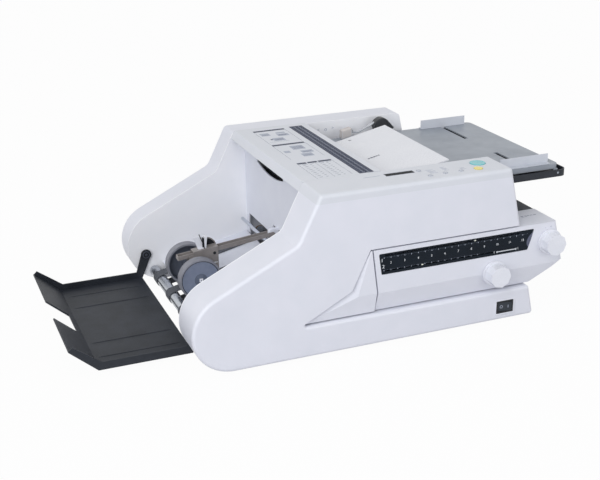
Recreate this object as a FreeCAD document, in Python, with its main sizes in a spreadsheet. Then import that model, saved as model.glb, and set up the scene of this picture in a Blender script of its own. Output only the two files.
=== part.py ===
import math
import os

import FreeCAD
import Part
import Sketcher

# Table-top buckle folding machine, in millimetres.
# +X points to the feed table, -Y to the operator, +Z up; the origin is on the desk
# under the middle of the machine. Every size below is a cell of the sheet "Sizes".
SIZES = {
    # whole casing: side view, shared by the covers on both sides
    "foot_height": 8,
    "foot_radius": 12,
    "foot_left": -190,
    "foot_right": 300,
    "foot_front": -195,
    "foot_rear": 228,
    "case_front": -230.5,
    "case_rear": 254.5,
    "bay_front": -153,
    "bay_rear": 196,
    "case_wall": 3,
    "panel_wall": 2.5,
    "lobe_radius": 69,
    "kink_across": -98.7,
    "kink_height": 208.7,
    "lobe_slope": 26.05,
    "deck_left": -59.4,
    "deck_right": 291.5,
    "deck_top": 287,
    "deck_seam": 272,
    "rear_top": 283.5,
    "base_right": 351.5,
    "edge_round": 6,
    "base_round": 6,
    "kink_round": 22,
    "shoulder_round": 9,
    "dish_across": -201,
    "dish_height": 75,
    "dish_radius": 58,
    "dish_depth": 1.6,
    # opening of the front cover for the fold unit, and the trim beside it
    "cut_top": 181.5,
    "cut_bottom": 64,
    "cut_apex": 28,
    "cut_elbow_across": -5,
    "cut_elbow_height": 113.5,
    "cut_tip": -87,
    "cut_tip_height": 70.5,
    "cut_tip_round": 2.5,
    "panel_cut_left": 40,
    "panel_cut_bottom": 100,
    "groove": 2.5,
    "trim_gap": 2,
    "trim_wall": 2.5,
    "trim_ridge_across": 6,
    "trim_ridge_top": 29,
    "trim_bevel_depth": 7,
    "trim_facet_depth": 7,
    "facet_height": 101.5,
    "facet_depth": 12,
    # fold unit housing, scale and knobs
    "unit_left_top": 33.4,
    "unit_left_mid": 43,
    "unit_left_bottom": 42,
    "unit_right_top": 387,
    "unit_right_mid": 404.5,
    "unit_right_bottom": 344,
    "unit_mid_height": 104,
    "unit_back": -160,
    "unit_round": 5,
    "window_left": 43,
    "window_left_low": 48.5,
    "window_right": 342.5,
    "window_right_low": 331,
    "window_top": 171.3,
    "window_bottom": 133.4,
    "window_round": 2.5,
    "scale_thick": 2,
    "scale_sunk": 1.5,
    "pointer_slot": 2.4,
    "knob_across": 374,
    "knob_height": 143.5,
    "knob_low_across": 265,
    "knob_low_height": 101.5,
    "knob_flange_radius": 22.5,
    "knob_flange": 4,
    "knob_grip_radius": 19.5,
    "knob_reach": 24,
    "knob_shaft_radius": 4,
    "knob_shaft_length": 34,
    "knob_pulley_radius": 10,
    "knob_pulley_width": 8,
    "knob_sides": 9,
    # fold plates and their stops
    "plate_gap": 4,
    "sheet_metal": 1.5,
    "plate_left_upper": 14,
    "plate_left_lower": 40,
    "plate_right": 386,
    "plate_rear": 188,
    "plate_rim": 8,
    "plate_front_inside": -147,
    "plate_step": 46,
    "plate_slot_height": 175,
    "lower_slot_height": 106,
    "stop_first": 57,
    "stop_last": 311,
    "side_plate_wall": 2.5,
    "pointer_upper_across": 225.4,
    "pointer_upper_height": 166.8,
    "pointer_lower_across": 125.1,
    "pointer_lower_height": 139.4,
    "stop_thick": 10,
    "stop_height": 3,
    "stop_neck": 2,
    "stop_leg": 8,
    "stop_leg_gap": 5,
    "stop_rear": 176,
    "pointer_width": 3,
    "pointer_thick": 1.8,
    # fold rollers, their gears and the motor
    "roller_radius": 16,
    "roller_teeth": 16,
    "drive_teeth": 24,
    "main_teeth": 40,
    "pinion_teeth": 12,
    "gear_width": 7,
    "gear_backlash": 0.5,
    "roller_gap": 0.3,
    "roller_across": -6,
    "roller_shift": 24,
    "roller_end": 2.5,
    "journal_radius": 5,
    "bearing_radius": 8,
    "bearing_flange": 10.5,
    "bearing_flange_wall": 1.5,
    "shaft_hole": 12,
    "gear_play": 1.5,
    "gear_gap": 2,
    "tooth_reach": 0.75,
    "tooth_root": 1.25,
    "tooth_flank": 20,
    "motor_radius": 25,
    "motor_length": 29,
    "motor_shaft_radius": 3,
    "motor_post_radius": 3.5,
    "motor_post_out": 29,
    "motor_post_near": 6,
    "motor_plate_rim": 6,
    "motor_post_side": 26,
    "motor_plate": 3,
    # chassis
    "frame_wall": 2.5,
    "frame_right": 38,
    "frame_right_upper": 92,
    "frame_step": 196,
    "frame_top": 282,
    "pan_height": 12,
    "pan_wall": 1.5,
    "pan_left": -200,
    "pan_right": 331,
    "pan_end_top": 66,
    "pan_lip": 8,
    "tie_radius": 5,
    "run_play": 0.05,
    "slide_play": 0.3,
    # top cover and its hinge
    "cover_right": 84,
    "cover_skin": 3,
    "cover_round": 2.5,
    "lip_back": -37,
    "cover_rim_wall": 3,
    "cover_play": 0.5,
    "cover_notch": 18,
    "cover_cheek": 10,
    "cover_hinge_across": 78,
    "cover_hinge_height": 276,
    "cover_pin_radius": 3,
    "ruler_left": 45,
    "ruler_width": 26,
    "ruler_sunk": 0.5,
    "ruler_thick": 0.8,
    "ruler_margin": 20,
    "ruler_front_margin": 3,
    # delivery wall
    "wall_left": -39,
    "wall_thick": 2.5,
    "slot_bottom": 56,
    "slot_top": 121.8,
    "slot_rear": 181,
    "slot_front": -145,
    "arm_slot_top": 142,
    "arm_slot_front": -5,
    "arm_slot_rear": 48,
    "finger_slot_front": -9,
    "finger_slot_rear": 127,
    "finger_slot_low": 233,
    "finger_slot_radius": 261,
    # conveyor
    "belt_roller_radius": 10.5,
    "belt_thick": 1.2,
    "belt_width": 24,
    "belt_outer_pitch": 127,
    "belt_slope": 0.2313,
    "drive_across": -14,
    "end_across": -231,
    "end_journal_radius": 4,
    "bed_sink": 0.8,
    "bed_right": -41,
    "bed_left": -214,
    # delivery arm, carriage and press wheels
    "wheel_radius": 38,
    "wheel_width": 16,
    "wheel_across": -203,
    "wheel_pitch": 82,
    "wheel_lift": 3.4,
    "wheel_rim": 4,
    "wheel_web": 3,
    "wheel_hub_radius": 7,
    "axle_radius": 3,
    "arm_pivot_across": -51,
    "arm_rise": 31.4,
    "arm_slope": 0.11,
    "arm_width": 14,
    "arm_height": 7.5,
    "arm_wall": 1.5,
    "arm_end": -231,
    "arm_web_gap": 12,
    "arm_pin_radius": 3,
    "lug_width": 8,
    "lug_radius": 7,
    "lug_bottom": 136,
    "lug_top": 145,
    "carriage_left": -203,
    "carriage_right": -157,
    "carriage_wall": 2,
    "cheek_left": 8,
    "clamp_across": -184,
    "clamp_base": 2,
    "clamp_leaf": 2,
    "clamp_foot": 8,
    "clamp_wing": 16,
    "clamp_gap": 3.5,
    "clamp_post": 3,
    "clamp_post_top": 5.5,
    "clamp_depth": 8,
    "clamp_height": 22,
    # exit tray
    "tray_end": -462,
    "tray_end_height": 56,
    "tray_bend": -416,
    "tray_bottom": 15,
    "tray_wall": 3,
    "tray_side_height": 14,
    "tray_right": -258,
    "tray_play": 2,
    "tray_pivot_across": -247,
    "tray_pivot_height": 63,
    "tray_hub_radius": 10,
    "tray_pin_radius": 5,
    "tray_gap_width": 75,
    "tray_gap_depth": 38,
    # feed table, lift plate and guides
    "table_right": 462,
    "table_left": 102,
    "table_bottom": 228.6,
    "table_top": 241,
    "table_wall": 2.5,
    "table_side_play": 6,
    "table_round": 14,
    "shelf_left": 36,
    "shelf_bottom": 243.5,
    "shelf_top": 247,
    "lift_left": 107,
    "lift_right": 448,
    "lift_side_play": 8,
    "lift_top": 250.5,
    "lift_height": 8.5,
    "lift_hinge_across": 442,
    "lift_hinge_height": 236,
    "lift_pin_radius": 2,
    "lift_ear": 4,
    "lift_round": 10,
    "paper_width": 297,
    "guide_left": 330,
    "guide_length": 100,
    "guide_height": 18,
    "guide_wall": 2,
    "guide_foot": 9,
    "guide_tongue": 8,
    "guide_travel": 95,
    "guide_clear": 0.5,
    # feed roller, pad, flap and lever
    "feed_across": 52,
    "feed_height": 266,
    "feed_radius": 15,
    "feed_tyre_width": 30,
    "feed_tyre_pitch": 46,
    "feed_core_radius": 9,
    "feed_journal_radius": 4,
    "pad_width": 40,
    "pad_length": 24,
    "flap_left": 93,
    "flap_right": 217,
    "flap_low": 262,
    "flap_high": 288.5,
    "flap_wall": 2.5,
    "flap_rear": 107,
    "flap_pin_radius": 2,
    "flap_hub_radius": 3,
    "flap_hinge_across": 96,
    "flap_lug_wall": 3,
    "lever_across": 239,
    "lever_height": 270,
    "lever_radius": 16,
    "lever_front": 164,
    "lever_thick": 14,
    "lever_shaft_radius": 4,
    "lever_tail_angle": 48,
    "lever_tail_length": 22,
    "lever_tail_thick": 10,
    "lever_rod_radius": 2.2,
    "lever_rod_top": 277,
    "lever_elbow_across": 190,
    "lever_elbow_height": 261.5,
    "lever_block_left": 153,
    "lever_block_right": 174.5,
    "lever_block_low": 252.5,
    "lever_block_tall": 15.5,
    "lever_block_lean": 4.5,
    # ledges of the inner panels that carry the table and the fold unit
    "ledge_reach": 12,
    "ledge_height": 6,
    "ledge_left": 62,
    "ledge_right": 290,
    # operator panel
    "display_left": 78.5,
    "display_width": 52.5,
    "display_front": -182,
    "display_depth": 11,
    "display_thick": 1.5,
    "start_across": 253,
    "start_depth": -179,
    "start_radius": 13.5,
    "stop_across": 238.5,
    "stop_depth": -206,
    "stop_radius": 7.5,
    "button_proud": 1,
    "button_play": 0.4,
    "button_collar": 2,
    "button_collar_wall": 2.5,
    "key_radius": 4,
    "board_drop": 13,
    "board_wall": 1.6,
    "board_left": 60,
    "board_right": 285,
    "board_front": -218,
    "board_rear": -160,
    "board_post_radius": 3,
    # power switch and inlet
    "switch_left": 274,
    "switch_width": 33,
    "switch_bottom": 21.5,
    "switch_height": 22.5,
    "switch_rim": 3,
    "switch_proud": 1.5,
    "switch_sunk": 9,
    "switch_tilt": -8,
    "rocker_depth": 9,
    "rocker_taper": 0.9,
    "rocker_bow": 0.75,
    "rocker_sunk": 1.5,
    "rocker_pin": 1.5,
    "inlet_across": 250,
    "inlet_height": 40,
    "inlet_width": 48,
    "inlet_tall": 27,
    "inlet_sunk": 18,
    "inlet_socket_depth": 15,
    "inlet_flange": 2,
    "inlet_pin": 2,
    "inlet_pin_pitch": 7,
}

# Where the four keys sit on the deck: across and front to back.
KEYS = {"key_1": (140.8, -176.7), "key_2": (146.5, -208.3), "key_3": (176.4, -205), "key_4": (205.6, -205.4)}
# Tie bars between the frame plates: across and height.
TIES = {"tie_feed": (50, 212), "tie_base": (26, 48), "tie_guide": (-22, 236)}


class Size:
    """A number together with the sheet formula that gives it."""

    def __init__(self, value, formula):
        self.value = value
        self.formula = formula

    def __add__(self, other):
        other = size(other)
        return Size(self.value + other.value, "(%s + %s)" % (self.formula, other.formula))

    def __sub__(self, other):
        other = size(other)
        return Size(self.value - other.value, "(%s - %s)" % (self.formula, other.formula))

    def __mul__(self, other):
        other = size(other)
        return Size(self.value * other.value, "%s * %s" % (self.formula, other.formula))

    def __truediv__(self, other):
        other = size(other)
        return Size(self.value / other.value, "%s / (%s)" % (self.formula, other.formula))

    def __neg__(self):
        return Size(-self.value, "(-1 * %s)" % self.formula)

    def __radd__(self, other):
        return size(other) + self

    def __rsub__(self, other):
        return size(other) - self

    def __rmul__(self, other):
        return size(other) * self


class Sheet:
    """Gives each driving size by its name: S.case_wall."""

    def __getattr__(self, name):
        return Size(SIZES[name], "Sizes." + name)


def size(value):
    """A plain number as a Size."""
    if isinstance(value, Size):
        return value
    return Size(float(value), repr(float(value)))


def root(value):
    """Square root of a Size."""
    return Size(math.sqrt(value.value), "sqrt(%s)" % value.formula)


def tangent(angle):
    """Tangent of a Size in degrees."""
    return Size(math.tan(math.radians(angle.value)), "tan(%s)" % angle.formula)


def sine(angle):
    """Sine of a Size in degrees."""
    return Size(math.sin(math.radians(angle.value)), "sin(%s)" % angle.formula)


def cosine(angle):
    """Cosine of a Size in degrees."""
    return Size(math.cos(math.radians(angle.value)), "cos(%s)" % angle.formula)


def bearing(rise, run):
    """Direction in degrees of a step by run across and rise up."""
    rise, run = size(rise), size(run)
    degrees = math.degrees(math.atan2(rise.value, run.value))
    return Size(degrees, "(atan2(%s; %s) / 1 deg)" % (rise.formula, run.formula))


def write_sheet(document):
    """The spreadsheet with one named cell for each driving size."""
    sheet = document.addObject("Spreadsheet::Sheet", "Sizes")
    places = {}
    for name, (across, depth) in {**KEYS, **TIES}.items():
        places[name + "_across"] = across
        places[name + "_place"] = depth
    SIZES.update(places)
    for row, (name, number) in enumerate(SIZES.items(), start=1):
        sheet.set("A%d" % row, name)
        sheet.set("B%d" % row, str(number))
        sheet.setAlias("B%d" % row, name)


doc = FreeCAD.newDocument("paper_folding_machine")
write_sheet(doc)
doc.recompute()
S = Sheet()
nodes = []

PLANE_AXIS = {"XY": "z", "XZ": "y", "YZ": "x"}
# edges and faces are told apart by their bounds, to this many millimetres
MATCH = 1e-4


def bind(item, **formulas):
    """Bind properties of an object to sizes."""
    for name, value in formulas.items():
        item.setExpression(name.replace("__", "."), size(value).formula)


def place(item, x=0, y=0, z=0):
    """Bind the position of an object to sizes."""
    bind(item, Placement__Base__x=x, Placement__Base__y=y, Placement__Base__z=z)


def node(name, item):
    """Register an object as the finished sub-part of that name."""
    item.Label = name
    nodes.append(item)
    return item


def unit(start, end):
    """Unit vector between two plane points."""
    span = math.hypot(end[0] - start[0], end[1] - start[1])
    return ((end[0] - start[0]) / span, (end[1] - start[1]) / span)


def corner_rounding(corner, before, after, radius):
    """Length cut off each side, arc centre and turn direction at a rounded corner."""
    back = unit(corner, before)
    ahead = unit(corner, after)
    half = math.acos(back[0] * ahead[0] + back[1] * ahead[1]) / 2
    middle = (back[0] + ahead[0], back[1] + ahead[1])
    reach = radius / math.sin(half) / math.hypot(*middle)
    centre = (corner[0] + middle[0] * reach, corner[1] + middle[1] * reach)
    left_turn = ahead[0] * back[1] - ahead[1] * back[0] > 0
    return radius / math.tan(half), centre, left_turn


def fix_point(sketch, geometry, across, up):
    """Hold the first point of a sketch element at two sizes."""
    for kind, value in (("DistanceX", across), ("DistanceY", up)):
        index = sketch.addConstraint(Sketcher.Constraint(kind, -1, 1, geometry, 1, value.value))
        sketch.setExpression("Constraints[%d]" % index, value.formula)


def outline(sketch, corners):
    """Closed outline through corners (across, up[, radius]); a radius rounds its corner."""
    corners = [[size(value) for value in (*corner, 0)[:3]] for corner in corners]
    count = len(corners)
    points = [(across.value, up.value) for across, up, _ in corners]
    cuts = []
    for index in range(count):
        after = points[(index + 1) % count]
        cuts.append(corner_rounding(points[index], points[index - 1], after, corners[index][2].value))
    lines = []
    for index in range(count):
        start, end = points[index], points[(index + 1) % count]
        along = unit(start, end)
        first, last = cuts[index][0], cuts[(index + 1) % count][0]
        lines.append(sketch.addGeometry(Part.LineSegment(
            FreeCAD.Vector(start[0] + along[0] * first, start[1] + along[1] * first),
            FreeCAD.Vector(end[0] - along[0] * last, end[1] - along[1] * last)), False))
    for index, (across, up, radius) in enumerate(corners):
        incoming, outgoing = lines[index - 1], lines[index]
        if radius.value == 0:
            sketch.addConstraint(Sketcher.Constraint("Coincident", incoming, 2, outgoing, 1))
            fix_point(sketch, outgoing, across, up)
            continue
        cut, centre, left_turn = cuts[index]
        corner = sketch.addGeometry(Part.Point(FreeCAD.Vector(*points[index])), True)
        fix_point(sketch, corner, across, up)
        sketch.addConstraint(Sketcher.Constraint("PointOnObject", corner, 1, incoming))
        sketch.addConstraint(Sketcher.Constraint("PointOnObject", corner, 1, outgoing))
        back = unit(points[index], points[index - 1])
        ahead = unit(points[index], points[(index + 1) % count])
        angles = [math.atan2(points[index][1] + way[1] * cut - centre[1],
                             points[index][0] + way[0] * cut - centre[0]) for way in (back, ahead)]
        if not left_turn:
            angles.reverse()
        circle = Part.Circle(FreeCAD.Vector(*centre), FreeCAD.Vector(0, 0, 1), radius.value)
        arc = sketch.addGeometry(Part.ArcOfCircle(circle, *angles), False)
        begin, finish = (1, 2) if left_turn else (2, 1)
        sketch.addConstraint(Sketcher.Constraint("Tangent", incoming, 2, arc, begin))
        sketch.addConstraint(Sketcher.Constraint("Tangent", outgoing, 1, arc, finish))
        rounding = sketch.addConstraint(Sketcher.Constraint("Radius", arc, radius.value))
        sketch.setExpression("Constraints[%d]" % rounding, radius.formula)


def new_sketch(body, name, plane):
    """Empty sketch on one of the body's own origin planes."""
    sketch = body.newObject("Sketcher::SketchObject", name)
    planes = [item for item in body.Origin.OriginFeatures if item.Role == plane + "_Plane"]
    sketch.AttachmentSupport = [(planes[0], "")]
    sketch.MapMode = "FlatFace"
    return sketch


def pad_outline(body, name, plane, corners, depth):
    """Pad an outline from its plane towards the positive axis."""
    sketch = new_sketch(body, name + "_sketch", plane)
    outline(sketch, corners)
    pad = body.newObject("PartDesign::Pad", name + "_pad")
    pad.Profile = sketch
    pad.Reversed = plane == "XZ"
    bind(pad, Length=depth)
    return pad


def slab(name, plane, start, end, corners):
    """Body with the outline in the plane, from start to end along the plane's axis."""
    body = doc.addObject("PartDesign::Body", name)
    pad_outline(body, name, plane, corners, size(end) - start)
    place(body, **{PLANE_AXIS[plane]: start})
    doc.recompute()
    return body


def chosen(shapes, prefix, test):
    """Names of the edges or faces that pass a test."""
    return ["%s%d" % (prefix, index) for index, item in enumerate(shapes, start=1) if test(item)]


def round_edges(body, radius, test):
    """Fillet the edges of the body's tip that pass the test."""
    base = body.Tip
    fillet = body.newObject("PartDesign::Fillet", body.Name + "_round")
    fillet.Base = (base, chosen(base.Shape.Edges, "Edge", test))
    bind(fillet, Radius=radius)
    doc.recompute()


def hollow(body, wall, test):
    """Turn the body into a shell that is open at the faces that pass the test."""
    base = body.Tip
    shell = body.newObject("PartDesign::Thickness", body.Name + "_shell")
    shell.Base = (base, chosen(base.Shape.Faces, "Face", test))
    shell.Reversed = True
    bind(shell, Value=wall)
    doc.recompute()


def on_plane(axis, value):
    """Test: the edge or face lies in the plane axis = value."""
    low, high = axis.upper() + "Min", axis.upper() + "Max"
    level = size(value).value

    def test(item):
        limits = item.BoundBox
        return abs(getattr(limits, low) - level) < MATCH and abs(getattr(limits, high) - level) < MATCH
    return test


def box(name, x, y, z):
    """Part box between two sizes on each axis."""
    item = doc.addObject("Part::Box", name)
    bind(item, Length=size(x[1]) - x[0], Width=size(y[1]) - y[0], Height=size(z[1]) - z[0])
    place(item, x=x[0], y=y[0], z=z[0])
    return item


AXIS_TURN = {
    "z": FreeCAD.Rotation(),
    "y": FreeCAD.Rotation(FreeCAD.Vector(1, 0, 0), -90),
    "x": FreeCAD.Rotation(FreeCAD.Vector(0, 1, 0), 90),
}


def stand_along(item, axis, centre, start):
    """Place a primitive that rises along Z so that it points along the axis."""
    item.Placement = FreeCAD.Placement(FreeCAD.Vector(), AXIS_TURN[axis])
    others = [name for name in "xyz" if name != axis]
    place(item, **{axis: start, others[0]: centre[0], others[1]: centre[1]})
    return item


def rod(name, axis, centre, start, end, radius):
    """Cylinder along an axis; its centre is given on the two other axes in order."""
    item = doc.addObject("Part::Cylinder", name)
    bind(item, Radius=radius, Height=size(end) - start)
    return stand_along(item, axis, centre, start)


def several(kind, name, items):
    """Boolean or compound of several objects."""
    result = doc.addObject(kind, name)
    if kind == "Part::Compound":
        result.Links = items
    else:
        result.Shapes = items
    doc.recompute()
    return result


def fuse(name, *items):
    return several("Part::MultiFuse", name, list(items))


def group(name, *items):
    """Separate solids that share one node."""
    return several("Part::Compound", name, list(items))


def pair(kind, name, base, tool):
    """Boolean of two objects."""
    result = doc.addObject(kind, name)
    result.Base = base
    result.Tool = tool
    doc.recompute()
    return result


def cut(name, base, *tools):
    """Base without the tools."""
    tool = tools[0] if len(tools) == 1 else fuse(name + "_tools", *tools)
    return pair("Part::Cut", name, base, tool)


def common(name, base, tool):
    return pair("Part::Common", name, base, tool)


# ---------------------------------------------------------------- casing

case_bottom = S.foot_height
right_lean = (S.base_right - S.deck_right) / (S.deck_top - case_bottom)
left_lean = (S.deck_left - S.kink_across) / (S.deck_top - S.kink_height)
lobe_tip = S.kink_across - (S.kink_height - case_bottom) / tangent(S.lobe_slope)


def right_edge(height):
    """Right end of the casing at a height."""
    return S.base_right - (size(height) - case_bottom) * right_lean


def left_edge(height):
    """Left end of the steep part of the casing at a height."""
    return S.kink_across + (size(height) - S.kink_height) * left_lean


def lobe_corners():
    """Left side of the casing, from the kink down round the lobe to the base."""
    return [
        (S.kink_across, S.kink_height, S.kink_round),
        (lobe_tip, case_bottom, S.lobe_radius),
    ]


def front_side(cut_corners):
    """Side view of the front casing with an opening for the fold unit."""
    return [
        (S.base_right, case_bottom, S.base_round),
        (right_edge(S.cut_bottom), S.cut_bottom, S.base_round),
        *cut_corners,
        (right_edge(S.cut_top), S.cut_top),
        (right_edge(S.deck_seam), S.deck_seam),
        (left_edge(S.deck_seam), S.deck_seam),
        *lobe_corners(),
    ]


def rear_side():
    """Side view of the rear casing."""
    return [
        (S.base_right, case_bottom, S.base_round),
        (right_edge(S.rear_top), S.rear_top, S.shoulder_round),
        (left_edge(S.rear_top), S.rear_top, S.shoulder_round),
        *lobe_corners(),
    ]


bay_middle = (S.bay_front + S.bay_rear) / 2
panel_front_outer = S.bay_front - S.panel_wall
panel_rear_outer = S.bay_rear + S.panel_wall
frame_front_inner = S.bay_front + S.frame_wall
frame_rear_inner = S.bay_rear - S.frame_wall
pan_top = S.pan_height + S.pan_wall
skin_under = S.deck_top - S.case_wall


def open_shell(name, start, end, corners, open_at):
    """Hollow body with the outline in the XZ plane, open at one of its two ends."""
    body = slab(name, "XZ", start, end, corners)
    hollow(body, S.case_wall, on_plane("y", size(open_at) - start))
    return body


def make_front_cover():
    opening = [
        (S.cut_tip, S.cut_bottom, S.cut_tip_round),
        (S.cut_tip, S.cut_tip_height),
        (S.cut_elbow_across, S.cut_elbow_height),
        (S.cut_apex, S.cut_top),
    ]
    side = front_side(opening)
    body = open_shell("front_cover_shell", S.case_front, panel_front_outer, side, panel_front_outer)
    low, high = S.cut_tip_height.value - 1, S.cut_top.value + 1

    def outer_front_edge(edge):
        limits = edge.BoundBox
        opening_edge = limits.ZMin > low and limits.ZMax < high and limits.XMax > S.cut_tip.value
        return abs(limits.YMax) < MATCH and limits.ZMin < S.deck_seam.value - 1 and not opening_edge
    round_edges(body, S.edge_round, outer_front_edge)
    ball_radius = (S.dish_radius * S.dish_radius + S.dish_depth * S.dish_depth) / (2 * S.dish_depth)
    dish = doc.addObject("Part::Sphere", "dish_ball")
    bind(dish, Radius=ball_radius)
    place(dish, x=S.dish_across, y=S.case_front + S.dish_depth - ball_radius, z=S.dish_height)
    hole = box("switch_hole", switch_x, (S.case_front, panel_front_outer), switch_z)
    node("front_cover", cut("front_cover_cut", body, dish, hole))


def inset(low, length, rim):
    """The two ends of a stretch, moved in by a rim."""
    return low + rim, low + length - rim


switch_x = inset(S.switch_left, S.switch_width, S.switch_rim / 2)
switch_z = inset(S.switch_bottom, S.switch_height, S.switch_rim / 2)
socket_x = inset(S.inlet_across - S.inlet_width / 2, S.inlet_width, S.switch_rim)
socket_z = inset(S.inlet_height - S.inlet_tall / 2, S.inlet_tall, S.switch_rim)


def make_rear_cover():
    body = open_shell("rear_cover_shell", panel_rear_outer, S.case_rear, rear_side(), panel_rear_outer)
    round_edges(body, S.edge_round, on_plane("y", S.case_rear - panel_rear_outer))
    hole = box("inlet_hole", socket_x, (panel_rear_outer, S.case_rear), socket_z)
    node("rear_cover", cut("rear_cover_cut", body, hole))


# ---------------------------------------------------------------- where the moving parts turn

roller_radius = S.roller_radius
gear_module = roller_radius * 2 / S.roller_teeth
roller_pitch = roller_radius * 2
roller_drop = root(roller_pitch * roller_pitch - S.roller_shift * S.roller_shift)
nip_height = S.plate_slot_height
roller_1 = (S.roller_across, nip_height + roller_radius)
roller_2 = (S.roller_across, nip_height - roller_radius)
roller_3 = (S.roller_across + S.roller_shift, roller_2[1] - roller_drop)
roller_4 = (S.roller_across, roller_3[1] - roller_drop)
drive_pitch = (S.roller_teeth + S.drive_teeth) * gear_module / 2
drive_shift = S.roller_across - S.drive_across
drive = (S.drive_across, roller_4[1] - root(drive_pitch * drive_pitch - drive_shift * drive_shift))
belt_run = S.drive_across - S.end_across
end = (S.end_across, drive[1] - S.belt_slope * belt_run)
pinion = (roller_4[0] + (S.main_teeth + S.pinion_teeth) * gear_module / 2, roller_4[1])
feed = (S.feed_across, S.feed_height)
belt_inner = S.belt_roller_radius + S.slide_play
belt_outer = belt_inner + S.belt_thick
slope_stretch = root(S.belt_slope * S.belt_slope + 1)
wheel_offset = (belt_outer + S.wheel_lift + S.wheel_radius) * slope_stretch
wheel_height = end[1] + (S.wheel_across - S.end_across) * S.belt_slope + wheel_offset


def arm_line(across):
    """Height of the middle of the delivery arm."""
    return wheel_height + S.arm_rise + (size(across) - S.wheel_across) * S.arm_slope


arm_pivot = (S.arm_pivot_across, arm_line(S.arm_pivot_across))


# ---------------------------------------------------------------- panels and chassis

def side_holes(name, front, back, holes):
    """Rods that cut round holes through a wall: each hole is (centre, radius)."""
    return [rod("%s_hole_%d" % (name, index), "y", centre, front, back, radius)
            for index, (centre, radius) in enumerate(holes, start=1)]


tray_pivot = (S.tray_pivot_across, S.tray_pivot_height)
common_holes = [(tray_pivot, S.tray_pin_radius + S.run_play), (end, S.end_journal_radius + S.run_play)]
shaft_axes = [roller_1, roller_2, roller_3, roller_4, drive]
lower_ledge_top = S.lower_slot_height - S.plate_gap / 2 - S.sheet_metal - S.slide_play


def ledges(name, front, back):
    """Ledges of a panel that carry the fold unit and the feed table."""
    ends = (front, back)
    lower_z = (lower_ledge_top - S.ledge_height, lower_ledge_top)
    lower = box(name + "_lower", (S.ledge_left, S.ledge_right), ends, lower_z)
    upper_z = (S.table_bottom - S.ledge_height, S.table_bottom)
    upper = box(name + "_upper", (S.table_left, S.ledge_right), ends, upper_z)
    return [lower, upper]


def make_front_panel():
    opening = [(S.panel_cut_left, S.panel_cut_bottom), (S.panel_cut_left, S.cut_top)]
    side = front_side(opening)
    side[1] = (right_edge(S.panel_cut_bottom), S.panel_cut_bottom)
    plate = slab("front_panel_plate", "XZ", panel_front_outer, S.bay_front, side)
    holes = side_holes("front_panel", panel_front_outer, S.bay_front, common_holes)
    plate = cut("front_panel_bored", plate, *holes)
    carriers = ledges("front_ledge", S.bay_front, S.bay_front + S.ledge_reach)
    node("front_inner_panel", fuse("front_panel_full", plate, *carriers))


def make_rear_panel():
    plate = slab("rear_panel_plate", "XZ", S.bay_rear, panel_rear_outer, rear_side())
    lever = ((S.lever_across, S.lever_height), S.lever_shaft_radius + S.run_play)
    holes = common_holes + [lever] + [(centre, S.shaft_hole) for centre in shaft_axes]
    plate = cut("rear_panel_bored", plate, *side_holes("rear_panel", S.bay_rear, panel_rear_outer, holes))
    carriers = ledges("rear_ledge", S.bay_rear - S.ledge_reach, S.bay_rear)
    node("rear_inner_panel", fuse("rear_panel_full", plate, *carriers))


cover_hinge = (S.cover_hinge_across, S.cover_hinge_height)


def make_frames():
    corners = [
        (S.wall_left + S.wall_thick, pan_top), (S.frame_right, pan_top), (S.frame_right, S.frame_step),
        (S.frame_right_upper, S.frame_step), (S.frame_right_upper, S.frame_top),
        (S.wall_left + S.wall_thick, S.frame_top),
    ]
    holes = [(centre, S.bearing_radius) for centre in (*shaft_axes, feed)]
    holes.append((cover_hinge, S.cover_pin_radius + S.run_play))
    for name, front, back in (("front_frame", S.bay_front, frame_front_inner),
                              ("rear_frame", frame_rear_inner, S.bay_rear)):
        plate = slab(name + "_plate", "XZ", front, back, corners)
        node(name, cut(name + "_bored", plate, *side_holes(name, front, back, holes)))


def make_tie_bars():
    bars = []
    for name in TIES:
        centre = (Size(SIZES[name + "_across"], "Sizes.%s_across" % name),
                  Size(SIZES[name + "_place"], "Sizes.%s_place" % name))
        bars.append(rod(name + "_bar", "y", centre, frame_front_inner, frame_rear_inner, S.tie_radius))
    node("tie_bars", group("tie_bar_set", *bars))


def make_base_pan():
    bay = (S.bay_front, S.bay_rear)
    floor = box("pan_floor", (S.pan_left, S.pan_right), bay, (S.pan_height, pan_top))
    end_wall = box("pan_end", (S.pan_right - S.pan_wall, S.pan_right), bay, (S.pan_height, S.pan_end_top))
    lip_z = (S.pan_height, S.pan_height + S.pan_lip)
    lip = box("pan_lip_wall", (S.pan_left, S.pan_left + S.pan_wall), bay, lip_z)
    node("base_pan", fuse("pan_full", floor, end_wall, lip))


def make_feet():
    feet = []
    for across in (S.foot_left, S.foot_right):
        for depth in (S.foot_front, S.foot_rear):
            name = "foot_%d" % len(feet)
            feet.append(rod(name, "z", (across, depth), 0, S.foot_height, S.foot_radius))
    node("feet", group("foot_set", *feet))


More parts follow.
